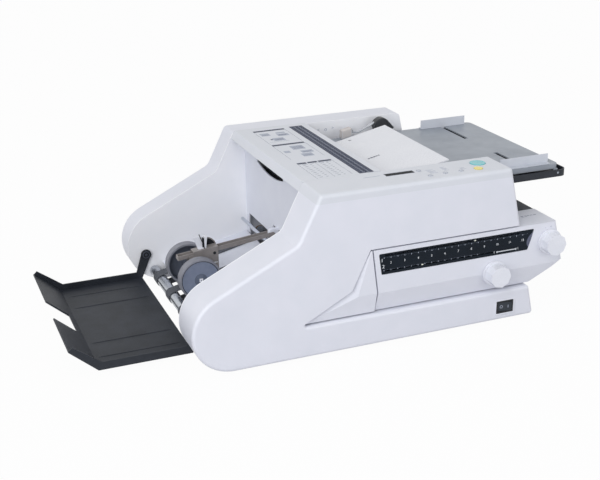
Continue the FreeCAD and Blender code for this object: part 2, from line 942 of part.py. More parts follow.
def make_delivery_wall():
    wall_x = (S.wall_left, S.wall_left + S.wall_thick)
    top = S.deck_seam - S.slide_play
    plate = box("wall_plate", wall_x, (S.bay_front, S.bay_rear), (pan_top, top))
    slot = slab("wall_slot", "YZ", *wall_x, [
        (S.slot_front, S.slot_bottom), (S.slot_rear, S.slot_bottom), (S.slot_rear, S.slot_top),
        (S.arm_slot_rear, S.slot_top), (S.arm_slot_rear, S.arm_slot_top),
        (S.arm_slot_front, S.arm_slot_top), (S.arm_slot_front, S.slot_top), (S.slot_front, S.slot_top),
    ])
    middle = (S.finger_slot_front + S.finger_slot_rear) / 2
    arc_centre = (middle, S.finger_slot_low + S.finger_slot_radius)
    bite = rod("finger_bite", "x", arc_centre, *wall_x, S.finger_slot_radius)
    fingers_y = (S.finger_slot_front, S.finger_slot_rear)
    fingers = box("finger_band", wall_x, fingers_y, (S.finger_slot_low, S.deck_seam))
    wall = cut("wall_cut", plate, slot, common("finger_slot", fingers, bite))
    faces = (bay_middle - S.lug_width / 2, bay_middle + S.lug_width / 2)
    left, right = arm_pivot[0] - S.lug_radius, arm_pivot[0] + S.lug_radius
    lug = slab("arm_lug", "XZ", *faces, [
        (left, arm_pivot[1]), (right, arm_pivot[1]), (right, S.lug_bottom), (S.wall_left, S.lug_bottom),
        (S.wall_left, S.lug_top), (left, S.lug_top, S.lug_radius),
    ])
    eye = rod("arm_lug_eye", "y", arm_pivot, *faces, S.lug_radius)
    bore = rod("arm_lug_bore", "y", arm_pivot, *faces, S.arm_pin_radius + S.run_play)
    node("delivery_wall", cut("wall_bored", fuse("wall_full", wall, lug, eye), bore))


def pocket_facet(body):
    """Slant the lower front of a body backwards, down to its bottom."""
    sketch = new_sketch(body, body.Name + "_facet", "YZ")
    outline(sketch, [
        (0, S.facet_height), (S.facet_depth, S.cut_bottom), (-S.facet_depth, S.cut_bottom),
        (-S.facet_depth, S.facet_height),
    ])
    pocket = body.newObject("PartDesign::Pocket", body.Name + "_slant")
    pocket.Profile = sketch
    pocket.Type = "ThroughAll"
    pocket.SideType = "Symmetric"
    doc.recompute()


def beside(low, high, height):
    """Point on the line between two plane points, at a height."""
    lean = (high[0] - low[0]) / (high[1] - low[1])
    return low[0] + (size(height) - low[1]) * lean


unit_bottom = S.cut_bottom + S.groove
unit_top = S.cut_top - S.groove


def closed_face(points):
    """Flat face through the points."""
    vectors = [FreeCAD.Vector(*[size(value).value for value in point]) for point in points]
    return Part.Face(Part.makePolygon(vectors + vectors[:1]))


def make_front_trim():
    """Shell beside the fold unit: a slanted lower front and two bevels that meet at the elbow."""
    front, back = S.case_front, panel_front_outer
    facet_y = front + S.trim_facet_depth
    bevel_y = front + S.trim_bevel_depth
    tip = (S.cut_tip + S.trim_gap, unit_bottom)
    elbow = (S.cut_elbow_across + S.trim_gap, S.cut_elbow_height)
    apex = (beside(elbow, (S.cut_apex + S.trim_gap, S.cut_top), unit_top), unit_top)
    low_right = (S.unit_left_bottom - S.groove, unit_bottom)
    side_right = (S.unit_left_mid - S.groove, S.unit_mid_height)
    mid_right = (beside(low_right, side_right, S.facet_height), S.facet_height)
    top_right = (S.unit_left_top - S.groove, unit_top)
    ridge = (S.trim_ridge_across, S.facet_height)
    ridge_top = (S.trim_ridge_top, unit_top)

    def from_ridge(point):
        """Distance across from the ridge line to a point."""
        return beside(ridge, ridge_top, point[1]) - point[0]
    apex_y = front + S.trim_bevel_depth * from_ridge(apex) / from_ridge(elbow)

    def at(point, depth):
        return point[0], depth, point[1]
    rim = [(tip, facet_y), (low_right, facet_y), (mid_right, front), (side_right, front), (top_right, front),
           (ridge_top, front), (apex, apex_y), (elbow, bevel_y)]
    faces = [
        [at(point, front) for point in (ridge, mid_right, side_right, top_right, ridge_top)],
        [at(tip, facet_y), at(low_right, facet_y), at(mid_right, front), at(ridge, front)],
        [at(tip, facet_y), at(ridge, front), at(elbow, bevel_y)],
        [at(elbow, bevel_y), at(ridge, front), at(ridge_top, front), at(apex, apex_y)],
        [at(point, back) for point, _ in rim],
    ]
    for (first, first_y), (second, second_y) in zip(rim, rim[1:] + rim[:1]):
        faces.append([at(first, first_y), at(second, second_y), at(second, back), at(first, back)])
    solid = doc.addObject("Part::Feature", "front_trim_solid")
    solid.Shape = Part.Solid(Part.makeShell([closed_face(points) for points in faces]))
    doc.recompute()
    shell = doc.addObject("Part::Thickness", "front_trim_shell")
    shell.Faces = (solid, chosen(solid.Shape.Faces, "Face", on_plane("y", back)))
    shell.Join = "Intersection"
    bind(shell, Value=-S.trim_wall)
    doc.recompute()
    node("front_trim", shell)


# ---------------------------------------------------------------- rollers and gears

def gear(name, teeth, centre, start, phase):
    """Spur gear along Y whose first tooth points at the angle phase, from +X towards +Z."""
    body = doc.addObject("PartDesign::Body", name)
    pitch_radius = size(teeth) * gear_module / 2
    foot = pitch_radius - gear_module * S.tooth_root
    disc_sketch = new_sketch(body, name + "_disc_sketch", "XZ")
    circle = Part.Circle(FreeCAD.Vector(), FreeCAD.Vector(0, 0, 1), foot.value)
    disc_sketch.addGeometry(circle, False)
    disc_sketch.addConstraint(Sketcher.Constraint("Coincident", 0, 3, -1, 1))
    index = disc_sketch.addConstraint(Sketcher.Constraint("Radius", 0, foot.value))
    disc_sketch.setExpression("Constraints[%d]" % index, foot.formula)
    disc = body.newObject("PartDesign::Pad", name + "_disc")
    disc.Profile = disc_sketch
    disc.Reversed = True
    bind(disc, Length=S.gear_width)
    half = (gear_module * math.pi / 2 - S.gear_backlash) / 2
    lean = tangent(S.tooth_flank)
    tip = gear_module * S.tooth_reach
    bury = gear_module * S.tooth_root + S.gear_backlash
    tooth = pad_outline(body, name + "_tooth", "XZ", [
        (pitch_radius - bury, -(half + lean * bury)),
        (pitch_radius + tip, -(half - lean * tip)),
        (pitch_radius + tip, half - lean * tip),
        (pitch_radius - bury, half + lean * bury),
    ], S.gear_width)
    doc.recompute()
    pattern = body.newObject("PartDesign::PolarPattern", name + "_teeth")
    pattern.Originals = [tooth]
    axes = [item for item in body.Origin.OriginFeatures if item.Role == "Y_Axis"]
    pattern.Axis = (axes[0], [""])
    pattern.Angle = 360
    bind(pattern, Occurrences=teeth)
    body.Tip = pattern
    body.Placement = FreeCAD.Placement(FreeCAD.Vector(), FreeCAD.Rotation(FreeCAD.Vector(0, 1, 0), 1))
    body.setExpression("Placement.Rotation.Angle", "%s * 1 deg" % (-size(phase)).formula)
    place(body, x=centre[0], y=start, z=centre[1])
    doc.recompute()
    return body


def meshed(first, first_phase, first_teeth, second, second_teeth):
    """Phase of a gear so that its teeth fit the gaps of the one that it meshes with."""
    towards = bearing(second[1] - first[1], second[0] - first[0])
    return towards + 180 - size(180) / second_teeth + (towards - first_phase) * first_teeth / second_teeth


gears_front = panel_rear_outer + S.gear_play
gears_back = gears_front + S.gear_width
main_front = gears_back + S.gear_gap
main_back = main_front + S.gear_width
phase_3 = meshed(roller_4, size(0), S.roller_teeth, roller_3, S.roller_teeth)
phase_2 = meshed(roller_3, phase_3, S.roller_teeth, roller_2, S.roller_teeth)
phase_1 = meshed(roller_2, phase_2, S.roller_teeth, roller_1, S.roller_teeth)
phase_drive = meshed(roller_4, size(0), S.roller_teeth, drive, S.drive_teeth)
phase_pinion = meshed(roller_4, size(0), S.main_teeth, pinion, S.pinion_teeth)
flange_front = frame_front_inner + S.bearing_flange_wall
flange_rear = frame_rear_inner - S.bearing_flange_wall
body_front = flange_front + S.roller_end
body_rear = flange_rear - S.roller_end
journal_front = S.bay_front + S.slide_play


def make_rollers():
    covering = roller_radius - S.roller_gap / 2
    rollers = [
        ("fold_roller_1", roller_1, covering, S.roller_teeth, phase_1),
        ("fold_roller_2", roller_2, covering, S.roller_teeth, phase_2),
        ("fold_roller_3", roller_3, covering, S.roller_teeth, phase_3),
        ("fold_roller_4", roller_4, covering, S.roller_teeth, size(0)),
        ("conveyor_drive_roller", drive, S.belt_roller_radius, S.drive_teeth, phase_drive),
    ]
    for name, centre, radius, teeth, phase in rollers:
        last = gears_back
        pieces = [
            rod(name + "_body", "y", centre, body_front, body_rear, radius),
            gear(name + "_gear", teeth, centre, gears_front, phase),
        ]
        if name == "fold_roller_4":
            pieces.append(gear(name + "_main", S.main_teeth, centre, main_front, size(0)))
            last = main_back
        shaft_end = last + S.slide_play
        pieces.append(rod(name + "_shaft", "y", centre, journal_front, shaft_end, S.journal_radius))
        node(name, fuse(name + "_full", *pieces))
    core = rod("feed_core", "y", feed, body_front, body_rear, S.feed_core_radius)
    shaft = rod("feed_shaft", "y", feed, journal_front, S.bay_rear - S.slide_play, S.feed_journal_radius)
    tyres = []
    for side in (-1, 1):
        start = bay_middle + side * S.feed_tyre_pitch / 2 - S.feed_tyre_width / 2
        stop = start + S.feed_tyre_width
        tyres.append(rod("feed_tyre_%d" % (side + 1), "y", feed, start, stop, S.feed_radius))
    node("feed_roller", fuse("feed_full", core, shaft, *tyres))
    between = (S.bay_front + S.roller_end, S.bay_rear - S.roller_end)
    barrel = rod("end_barrel", "y", end, *between, S.belt_roller_radius)
    through = (panel_front_outer + S.slide_play, panel_rear_outer - S.slide_play)
    journals = rod("end_journals", "y", end, *through, S.end_journal_radius)
    node("conveyor_end_roller", fuse("end_full", barrel, journals))


def make_bearings():
    bearings = []
    for centre in (*shaft_axes, feed):
        bore = S.feed_journal_radius if centre is feed else S.journal_radius
        for front, back, flange in ((S.bay_front, flange_front, frame_front_inner),
                                    (flange_rear, S.bay_rear, flange_rear)):
            name = "bearing_%d" % len(bearings)
            bush = rod(name + "_bush", "y", centre, front, back, S.bearing_radius)
            rim = rod(name + "_rim", "y", centre, flange, flange + S.bearing_flange_wall, S.bearing_flange)
            hole = rod(name + "_bore", "y", centre, front, back, bore + S.run_play)
            bearings.append(cut(name, fuse(name + "_full", bush, rim), hole))
    node("roller_bearings", group("bearing_set", *bearings))


def make_motor():
    front = main_back + S.gear_gap
    back = front + S.motor_length
    casing = rod("motor_casing", "y", pinion, front, back, S.motor_radius)
    flange_half = S.motor_post_side + S.motor_plate_rim
    plate = box("motor_flange", (pinion[0] - S.motor_radius, pinion[0] + S.motor_post_out + S.motor_plate_rim),
                (front, front + S.motor_plate), (pinion[1] - flange_half, pinion[1] + flange_half))
    posts = []
    for out, side in ((S.motor_post_out, 0), (S.motor_post_near, 1), (S.motor_post_near, -1)):
        centre = (pinion[0] + out, pinion[1] + side * S.motor_post_side)
        name = "motor_post_%d" % len(posts)
        posts.append(rod(name, "y", centre, panel_rear_outer, front, S.motor_post_radius))
    shaft_end = front + S.motor_length / 2
    bore = rod("motor_bore", "y", pinion, front, shaft_end + S.slide_play, S.motor_shaft_radius + S.run_play)
    node("motor", cut("motor_bored", fuse("motor_full", casing, plate, *posts), bore))
    wheel = gear("pinion_gear", S.pinion_teeth, pinion, main_front, phase_pinion)
    shaft = rod("pinion_shaft", "y", pinion, main_front, shaft_end, S.motor_shaft_radius)
    node("motor_pinion", fuse("pinion_full", wheel, shaft))


# ---------------------------------------------------------------- conveyor, arm and exit tray

def sloping_bar(name, start, end_across, y, low, high):
    """Bar parallel to the belts, between two distances from their middle line; x is its lower edge."""
    item = doc.addObject("Part::Box", name)
    length = (size(end_across) - start) * slope_stretch
    bind(item, Length=length, Width=size(y[1]) - y[0], Height=size(high) - low)
    item.Placement = FreeCAD.Placement(FreeCAD.Vector(), FreeCAD.Rotation(FreeCAD.Vector(0, -1, 0), 1))
    item.setExpression("Placement.Rotation.Angle", "%s * 1 deg" % bearing(S.belt_slope, 1).formula)
    line = end[1] + (size(start) - S.end_across) * S.belt_slope
    place(item, x=start, y=y[0], z=line + size(low) * slope_stretch)
    return item


def arm_bar(name, left, right, half_width, low, high):
    """Bar parallel to the delivery arm, from low to high beside its middle line."""
    return slab(name, "XZ", bay_middle - half_width, bay_middle + half_width, [
        (left, arm_line(left) + low), (right, arm_line(right) + low),
        (right, arm_line(right) + high), (left, arm_line(left) + high),
    ])


def loop_shape(name, y, radius):
    """Both ends and the straight runs of a belt, as one solid."""
    near = rod(name + "_near", "y", drive, *y, radius)
    far = rod(name + "_far", "y", end, *y, radius)
    lean = S.belt_slope * radius / slope_stretch
    between = sloping_bar(name + "_between", S.end_across + lean, S.drive_across + lean, y, -radius, radius)
    return fuse(name, near, far, between)


def make_conveyor():
    belts = []
    for offset in (-S.belt_outer_pitch, -S.wheel_pitch / 2, S.wheel_pitch / 2, S.belt_outer_pitch):
        middle = bay_middle + offset
        y = (middle - S.belt_width / 2, middle + S.belt_width / 2)
        name = "belt_%d" % len(belts)
        outside = loop_shape(name + "_outside", y, belt_outer)
        belts.append(cut(name, outside, loop_shape(name + "_inside", y, belt_inner)))
    node("conveyor_belts", group("belt_set", *belts))
    top = belt_inner - S.bed_sink
    bay = (S.bay_front, S.bay_rear)
    node("conveyor_bed", sloping_bar("bed_sheet", S.bed_left, S.bed_right, bay, top - S.sheet_metal, top))


wheel_front = bay_middle - S.wheel_pitch / 2
wheel_rear = bay_middle + S.wheel_pitch / 2
arm_half = S.arm_width / 2
arm_top = S.arm_height / 2
sleeve_half = arm_half + S.slide_play + S.carriage_wall
sleeve_top = arm_top + S.slide_play + S.carriage_wall


def make_arm():
    """Channel that is open at the top and pinned between its two sides."""
    pivot_across = arm_pivot[0]
    bar = arm_bar("arm_bar", S.arm_end, pivot_across, arm_half, -arm_top, arm_top)
    rounded = rod("arm_round", "y", arm_pivot, bay_middle - arm_half, bay_middle + arm_half, arm_top)
    inner = arm_half - S.arm_wall
    reach = pivot_across + arm_top
    trough = arm_bar("arm_trough", S.arm_end + S.arm_wall, reach, inner, S.arm_wall - arm_top, S.arm_height)
    fork = arm_bar("arm_fork", pivot_across - S.arm_web_gap, reach, inner, -S.arm_height, S.arm_height)
    channel = cut("arm_channel", fuse("arm_full", bar, rounded), trough, fork)
    pin = rod("arm_pin", "y", arm_pivot, bay_middle - arm_half, bay_middle + arm_half, S.arm_pin_radius)
    node("delivery_arm", fuse("arm_pinned", channel, pin))


def make_carriage():
    ends = (S.carriage_left, S.carriage_right)
    sleeve = arm_bar("carriage_sleeve", *ends, sleeve_half, -sleeve_top, sleeve_top)
    play = S.slide_play
    tunnel = arm_bar("carriage_tunnel", S.carriage_left - sleeve_half, S.carriage_right + sleeve_half,
                     arm_half + play, -arm_top - play, arm_top + play)
    cheeks = []
    width = (bay_middle - sleeve_half, bay_middle + sleeve_half)
    left = S.wheel_across - S.cheek_left
    low = wheel_height - S.axle_radius - S.carriage_wall
    for start in (width[0], width[1] - S.carriage_wall):
        cheeks.append(slab("carriage_cheek_%d" % len(cheeks), "XZ", start, start + S.carriage_wall, [
            (left, low), (S.carriage_right, low), (S.carriage_right, arm_line(S.carriage_right)),
            (left, arm_line(left)),
        ]))
    full = cut("carriage_open", fuse("carriage_full", sleeve, *cheeks), tunnel)
    axle = (S.wheel_across, wheel_height)
    bore = rod("carriage_bore", "y", axle, *width, S.axle_radius)
    node("wheel_carriage", cut("carriage_bored", full, bore))
    front = wheel_front - S.wheel_width / 2 + S.wheel_web + S.slide_play
    back = wheel_rear + S.wheel_width / 2 - S.wheel_web - S.slide_play
    node("wheel_axle", rod("axle_rod", "y", axle, front, back, S.axle_radius))
    make_wheel("front_wheel", axle, wheel_front, -1)
    make_wheel("rear_wheel", axle, wheel_rear, 1)
    make_clamp()


def make_wheel(name, axle, middle, side):
    """Press wheel: rim, closed web on its outer side and a bored hub."""
    outer = middle + side * S.wheel_width / 2
    inner = middle - side * S.wheel_width / 2
    web_inner = outer - side * S.wheel_web
    disc = rod(name + "_disc", "y", axle, *(outer, inner)[::-side], S.wheel_radius)
    space = rod(name + "_space", "y", axle, *(web_inner, inner)[::-side], S.wheel_radius - S.wheel_rim)
    hub = rod(name + "_hub", "y", axle, *(web_inner, inner)[::-side], S.wheel_hub_radius)
    bore = rod(name + "_bore", "y", axle, *(web_inner, inner)[::-side], S.axle_radius + S.run_play)
    node(name, cut(name + "_bored", fuse(name + "_full", cut(name + "_dish", disc, space), hub), bore))


def make_clamp():
    """Wing clamp on the carriage: a base, one broad leaf and one narrow deep one."""
    across = S.clamp_across
    post_left = across + S.clamp_gap
    post_right = post_left + S.clamp_post
    left = across - S.clamp_foot
    top = arm_line(across) + sleeve_top + S.clamp_height

    def seat(place_across):
        return arm_line(place_across) + sleeve_top
    broad = (bay_middle - S.clamp_leaf / 2, bay_middle + S.clamp_leaf / 2)
    deep = (bay_middle - S.clamp_depth / 2, bay_middle + S.clamp_depth / 2)
    base = slab("clamp_base", "XZ", *deep, [
        (left, seat(left)), (post_right, seat(post_right)),
        (post_right, seat(post_right) + S.clamp_base), (left, seat(left) + S.clamp_base),
    ])
    wing = slab("clamp_wing", "XZ", *broad, [
        (left, seat(left)), (across, seat(across)), (across, top), (across - S.clamp_wing, top),
    ])
    post = slab("clamp_post", "XZ", *deep, [
        (post_left, seat(post_left)), (post_right, seat(post_right)),
        (post_left + S.clamp_post_top, top), (post_left, top),
    ])
    node("arm_clamp", fuse("clamp_full", base, wing, post))


def make_exit_tray():
    front = S.bay_front + S.tray_play
    rear = S.bay_rear - S.tray_play
    wall = S.tray_wall
    floor_top = S.tray_bottom + wall
    rise = (S.tray_end_height - S.tray_bottom) / (S.tray_bend - S.tray_end)
    floor = slab("tray_floor", "XZ", front, rear, [
        (S.tray_end, S.tray_end_height), (S.tray_bend, S.tray_bottom), (S.tray_right, S.tray_bottom),
        (S.tray_right, floor_top), (S.tray_bend + wall * rise / 2, floor_top),
        (S.tray_end + wall * rise / 2, S.tray_end_height + wall * rise),
    ])
    gap_y = (bay_middle - S.tray_gap_width / 2, bay_middle + S.tray_gap_width / 2)
    gap_x = (S.tray_end, S.tray_end + S.tray_gap_depth)
    gap = box("tray_gap", gap_x, gap_y, (S.tray_bottom, S.tray_end_height + 2 * wall))
    side = [
        (S.tray_end, S.tray_end_height), (S.tray_bend, S.tray_bottom), (S.tray_right, S.tray_bottom),
        (S.tray_pivot_across + S.tray_hub_radius, S.tray_pivot_height),
        (S.tray_pivot_across - S.tray_hub_radius, S.tray_pivot_height),
        (S.tray_right - S.tray_hub_radius, S.tray_bottom + S.tray_side_height),
        (S.tray_bend + S.tray_side_height * rise / 2, S.tray_bottom + S.tray_side_height),
        (S.tray_end + S.tray_side_height / 2, S.tray_end_height + S.tray_side_height / 2),
    ]
    pieces = [cut("tray_floor_open", floor, gap)]
    for start, pin in ((front, (panel_front_outer + S.slide_play, front)),
                       (rear - wall, (rear, panel_rear_outer - S.slide_play))):
        name = "tray_side_%d" % len(pieces)
        pieces.append(slab(name, "XZ", start, start + wall, side))
        pieces.append(rod(name + "_hub", "y", tray_pivot, start, start + wall, S.tray_hub_radius))
        pieces.append(rod(name + "_pin", "y", tray_pivot, *pin, S.tray_pin_radius))
    node("exit_tray", fuse("tray_full", *pieces))


# ---------------------------------------------------------------- top cover and operator panel

def make_top_cover():
    front = S.bay_front + S.cover_play
    rear = S.bay_rear - S.cover_play
    skin = [
        (left_edge(S.deck_seam), S.deck_seam), (left_edge(S.deck_top), S.deck_top),
        (S.cover_right, S.deck_top), (S.cover_right, skin_under),
        (left_edge(skin_under) + S.cover_skin, skin_under),
        (left_edge(S.deck_seam + S.cover_skin) + S.cover_skin, S.deck_seam + S.cover_skin),
        (S.lip_back, S.deck_seam + S.cover_skin), (S.lip_back, S.deck_seam),
    ]
    plate = slab("cover_plate", "XZ", front, rear, skin)
    left_top, right_end = left_edge(S.deck_top).value, S.cover_right.value
    depth = (rear - front).value

    def left_or_rear_edge(edge):
        limits = edge.BoundBox
        at_top = abs(limits.ZMin - S.deck_top.value) < MATCH
        at_left = abs(limits.XMax - left_top) < MATCH
        at_rear = abs(limits.YMin - depth) < MATCH and limits.XMax < right_end + MATCH
        return at_top and (at_left or at_rear)
    round_edges(plate, S.cover_round, left_or_rear_edge)
    inner_front = frame_front_inner + S.slide_play
    inner_rear = frame_rear_inner - S.slide_play
    notch_x = (S.cover_hinge_across - S.cover_notch, S.cover_right)
    notch_z = (S.deck_seam, S.deck_top)
    notches = [box("cover_notch_front", notch_x, (front, inner_front), notch_z),
               box("cover_notch_rear", notch_x, (inner_rear, rear), notch_z)]
    strip_x = (S.ruler_left, S.ruler_left + S.ruler_width)
    strip_y = (front + S.ruler_front_margin, rear - S.ruler_margin)
    strip_z = (S.deck_top - S.ruler_sunk, S.deck_top)
    plate = cut("cover_cut", plate, *notches, box("ruler_bed", strip_x, strip_y, strip_z))
    lip = box("cover_lip", (S.cover_right - S.cover_rim_wall, S.cover_right), (inner_front, inner_rear),
              (S.cover_hinge_height, skin_under))
    pieces = [plate, lip]
    cheek_x = (S.cover_hinge_across - S.cover_cheek, S.cover_right)
    for start, pin in ((inner_front, (journal_front, inner_front)),
                       (inner_rear - S.cover_rim_wall, (inner_rear, S.bay_rear - S.slide_play))):
        name = "cover_cheek_%d" % len(pieces)
        pieces.append(box(name, cheek_x, (start, start + S.cover_rim_wall), (S.deck_seam, skin_under)))
        pieces.append(rod(name + "_pin", "y", cover_hinge, *pin, S.cover_pin_radius))
    node("top_cover", fuse("cover_full", *pieces))
    node("ruler_strip", box("ruler_plate", strip_x, strip_y, (strip_z[0], strip_z[0] + S.ruler_thick)))


def key_centre(name):
    return (Size(SIZES[name + "_across"], "Sizes.%s_across" % name),
            Size(SIZES[name + "_place"], "Sizes.%s_place" % name))


def buttons():
    """Each button of the deck: name, centre and radius."""
    return [
        ("start_button", (S.start_across, S.start_depth), S.start_radius),
        ("stop_button", (S.stop_across, S.stop_depth), S.stop_radius),
        *[(name, key_centre(name), S.key_radius) for name in KEYS],
    ]


def make_deck():
    corners = [
        (left_edge(S.deck_seam), S.deck_seam), (right_edge(S.deck_seam), S.deck_seam),
        (right_edge(S.deck_top), S.deck_top), (left_edge(S.deck_top), S.deck_top),
    ]
    body = slab("deck_shell", "XZ", S.case_front, S.bay_front, corners)
    hollow(body, S.case_wall, on_plane("z", S.deck_seam))
    middle = (S.deck_seam.value + S.deck_top.value) / 2

    def outer_top_edge(edge):
        limits = edge.BoundBox
        at_front = abs(limits.YMax) < MATCH
        at_top = limits.ZMax > S.deck_top.value - MATCH
        upright = limits.ZMax - limits.ZMin > S.case_wall.value
        at_back = limits.YMin > (S.bay_front - S.case_front).value - MATCH
        return at_top and not at_back and (at_front or upright or limits.ZMin > middle)
    round_edges(body, S.edge_round, outer_top_edge)
    window_x = (S.display_left, S.display_left + S.display_width)
    window = window_x, (S.display_front, S.display_front + S.display_depth)
    window_z = (S.deck_top - S.display_thick, S.deck_top)
    holes = [box("display_bed", *window, window_z)]
    for name, centre, radius in buttons():
        holes.append(rod(name + "_hole", "z", centre, S.deck_seam, S.deck_top, radius + S.button_play))
    node("control_deck", cut("deck_cut", body, *holes))
    node("display_window", box("display_plate", *window, window_z))
    for name, centre, radius in buttons():
        collar_top = skin_under - S.slide_play
        collar_bottom = collar_top - S.button_collar_wall
        cap = rod(name + "_cap", "z", centre, collar_bottom, S.deck_top + S.button_proud, radius)
        collar = rod(name + "_collar", "z", centre, collar_bottom, collar_top, radius + S.button_collar)
        node(name, fuse(name + "_full", cap, collar))
    top = S.deck_top - S.board_drop
    board_y = (S.board_front, S.board_rear)
    board = box("board_plate", (S.board_left, S.board_right), board_y, (top - S.board_wall, top))
    posts = []
    for across in (S.board_left + 2 * S.board_post_radius, S.board_right - 2 * S.board_post_radius):
        for depth in (S.board_front + 2 * S.board_post_radius, S.board_rear - 2 * S.board_post_radius):
            name = "board_post_%d" % len(posts)
            posts.append(rod(name, "z", (across, depth), top, skin_under, S.board_post_radius))
    node("circuit_board", fuse("board_full", board, *posts))


# ---------------------------------------------------------------- fold unit

window = [
    (S.window_left_low, S.window_bottom, S.window_round),
    (S.window_right_low, S.window_bottom, S.window_round),
    (S.window_right, S.window_top, S.window_round),
    (S.window_left, S.window_top, S.window_round),
]
knob_1 = (S.knob_across, S.knob_height)
knob_2 = (S.knob_low_across, S.knob_low_height)
scale_front = S.case_front + S.scale_sunk
scale_back = scale_front + S.scale_thick


def make_unit_housing():
    corners = [
        (S.unit_left_bottom, unit_bottom), (S.unit_right_bottom, unit_bottom),
        (S.unit_right_mid, S.unit_mid_height), (S.unit_right_top, unit_top),
        (S.unit_left_top, unit_top), (S.unit_left_mid, S.unit_mid_height),
    ]
    body = slab("housing_shell", "XZ", S.case_front, S.unit_back, corners)
    pocket_facet(body)
    hollow(body, S.case_wall, on_plane("y", S.unit_back - S.case_front))
    right = S.unit_right_bottom.value - 1

    def right_front_edge(edge):
        limits = edge.BoundBox
        at_front = abs(limits.YMax) < MATCH
        return at_front and limits.XMin > right and limits.ZMin > S.facet_height.value - MATCH
    round_edges(body, S.unit_round, right_front_edge)
    boss = rod("knob_boss", "y", knob_2, S.case_front, S.case_front + S.facet_depth, S.knob_flange_radius)
    opening = slab("window_opening", "XZ", S.case_front, S.case_front + S.case_wall, window)
    bores = [rod("knob_bore_%d" % index, "y", centre, S.case_front, S.case_front + S.facet_depth + S.case_wall,
                 S.knob_shaft_radius + S.run_play) for index, centre in ((1, knob_1), (2, knob_2))]
    node("unit_housing", cut("housing_cut", fuse("housing_full", body, boss), opening, *bores))


def travel_slot(name, y, height, thick, room):
    """Slot along the whole travel of a stop, for a piece that reaches so far to its sides."""
    x = (S.stop_first - room - S.slide_play, S.stop_last + room + S.slide_play)
    return box(name, x, y, (height - thick / 2, height + thick / 2))


def make_scale():
    plate = slab("scale_full", "XZ", scale_front, scale_back, window)
    half, depths = S.pointer_width / 2, (scale_front, scale_back)
    slots = [travel_slot("scale_slot_%d" % index, depths, height, S.pointer_slot, half)
             for index, height in ((1, S.pointer_upper_height), (2, S.pointer_lower_height))]
    node("scale_plate", cut("scale_cut", plate, *slots))


plate_front = S.unit_back + S.side_plate_wall


def make_fold_plate(name, left, height):
    """Two sheets that a slot parts, closed at their far end and at the rear."""
    corners = [
        (left, S.plate_front_inside), (S.plate_step, S.plate_front_inside), (S.plate_step, plate_front),
        (S.plate_right, plate_front), (S.plate_right, S.plate_rear), (left, S.plate_rear),
    ]
    low = height - S.plate_gap / 2
    high = height + S.plate_gap / 2
    lower = slab(name + "_lower", "XY", low - S.sheet_metal, low, corners)
    upper = slab(name + "_upper", "XY", high, high + S.sheet_metal, corners)
    far_x, rear_y = (S.plate_right - S.plate_rim, S.plate_right), (S.plate_rear - S.plate_rim, S.plate_rear)
    far = box(name + "_far", far_x, (plate_front, S.plate_rear), (low, high))
    rear = box(name + "_rear", (S.plate_step, S.plate_right), rear_y, (low, high))
    node(name, fuse(name + "_full", lower, upper, far, rear))


def make_side_plates():
    bottom = S.lower_slot_height - S.plate_gap / 2 - S.sheet_metal
    top = S.plate_slot_height + S.plate_gap / 2 + S.sheet_metal
    x = (S.plate_step, S.plate_right)
    y = (S.unit_back, plate_front)
    thick = S.stop_height + 2 * S.slide_play
    slots = [travel_slot("side_slot_%d" % index, y, height, thick, S.stop_thick / 2)
             for index, height in ((1, S.plate_slot_height), (2, S.lower_slot_height))]
    front = cut("side_plate_front", box("side_plate_sheet", x, y, (bottom, top)), *slots)
    rear = box("side_plate_rear", x, (S.plate_rear, S.plate_rear + S.side_plate_wall), (bottom, top))
    node("unit_side_plates", group("side_plate_set", front, rear))


def make_stop(name, across, slot_height, pointer_height):
    """Stop bar in the slot of a fold plate, with an arm to the pointer behind the scale."""
    half = S.stop_thick / 2
    x = (across - half, across + half)
    low = slot_height - S.stop_height / 2
    bar = box(name + "_bar", x, (plate_front, S.stop_rear), (low, slot_height + S.stop_height / 2))
    leg_y = (S.unit_back - S.stop_leg_gap - S.stop_leg, S.unit_back - S.stop_leg_gap)
    neck = box(name + "_neck", x, (leg_y[0], plate_front), (low, low + S.stop_neck))
    pointer_low = pointer_height - S.pointer_thick / 2
    pointer_high = pointer_height + S.pointer_thick / 2
    ends = (pointer_low, low + S.stop_neck) if slot_height.value > pointer_height.value else (low, pointer_high)
    leg = box(name + "_leg", x, leg_y, ends)
    pointer_x = (across - S.pointer_width / 2, across + S.pointer_width / 2)
    pointer = box(name + "_pointer", pointer_x, (scale_front, leg_y[0]), (pointer_low, pointer_high))
    node(name, fuse(name + "_full", bar, neck, leg, pointer))


def make_knob(name, centre):
    """Knob with a round flange, a nine-sided grip and a pulley at the inner end of its shaft."""
    front = S.case_front - S.knob_reach
    flange_back = S.case_front - S.slide_play
    flange_front = flange_back - S.knob_flange
    grip = doc.addObject("Part::Prism", name + "_grip")
    bind(grip, Polygon=S.knob_sides, Circumradius=S.knob_grip_radius, Height=flange_front - front)
    stand_along(grip, "y", centre, front)
    flange = rod(name + "_flange", "y", centre, flange_front, flange_back, S.knob_flange_radius)
    inner_end = S.case_front + S.knob_shaft_length
    shaft = rod(name + "_shaft", "y", centre, flange_back, inner_end, S.knob_shaft_radius)
    pulley_start = inner_end - S.knob_pulley_width
    pulley = rod(name + "_pulley", "y", centre, pulley_start, inner_end, S.knob_pulley_radius)
    node(name, fuse(name + "_full", grip, flange, shaft, pulley))


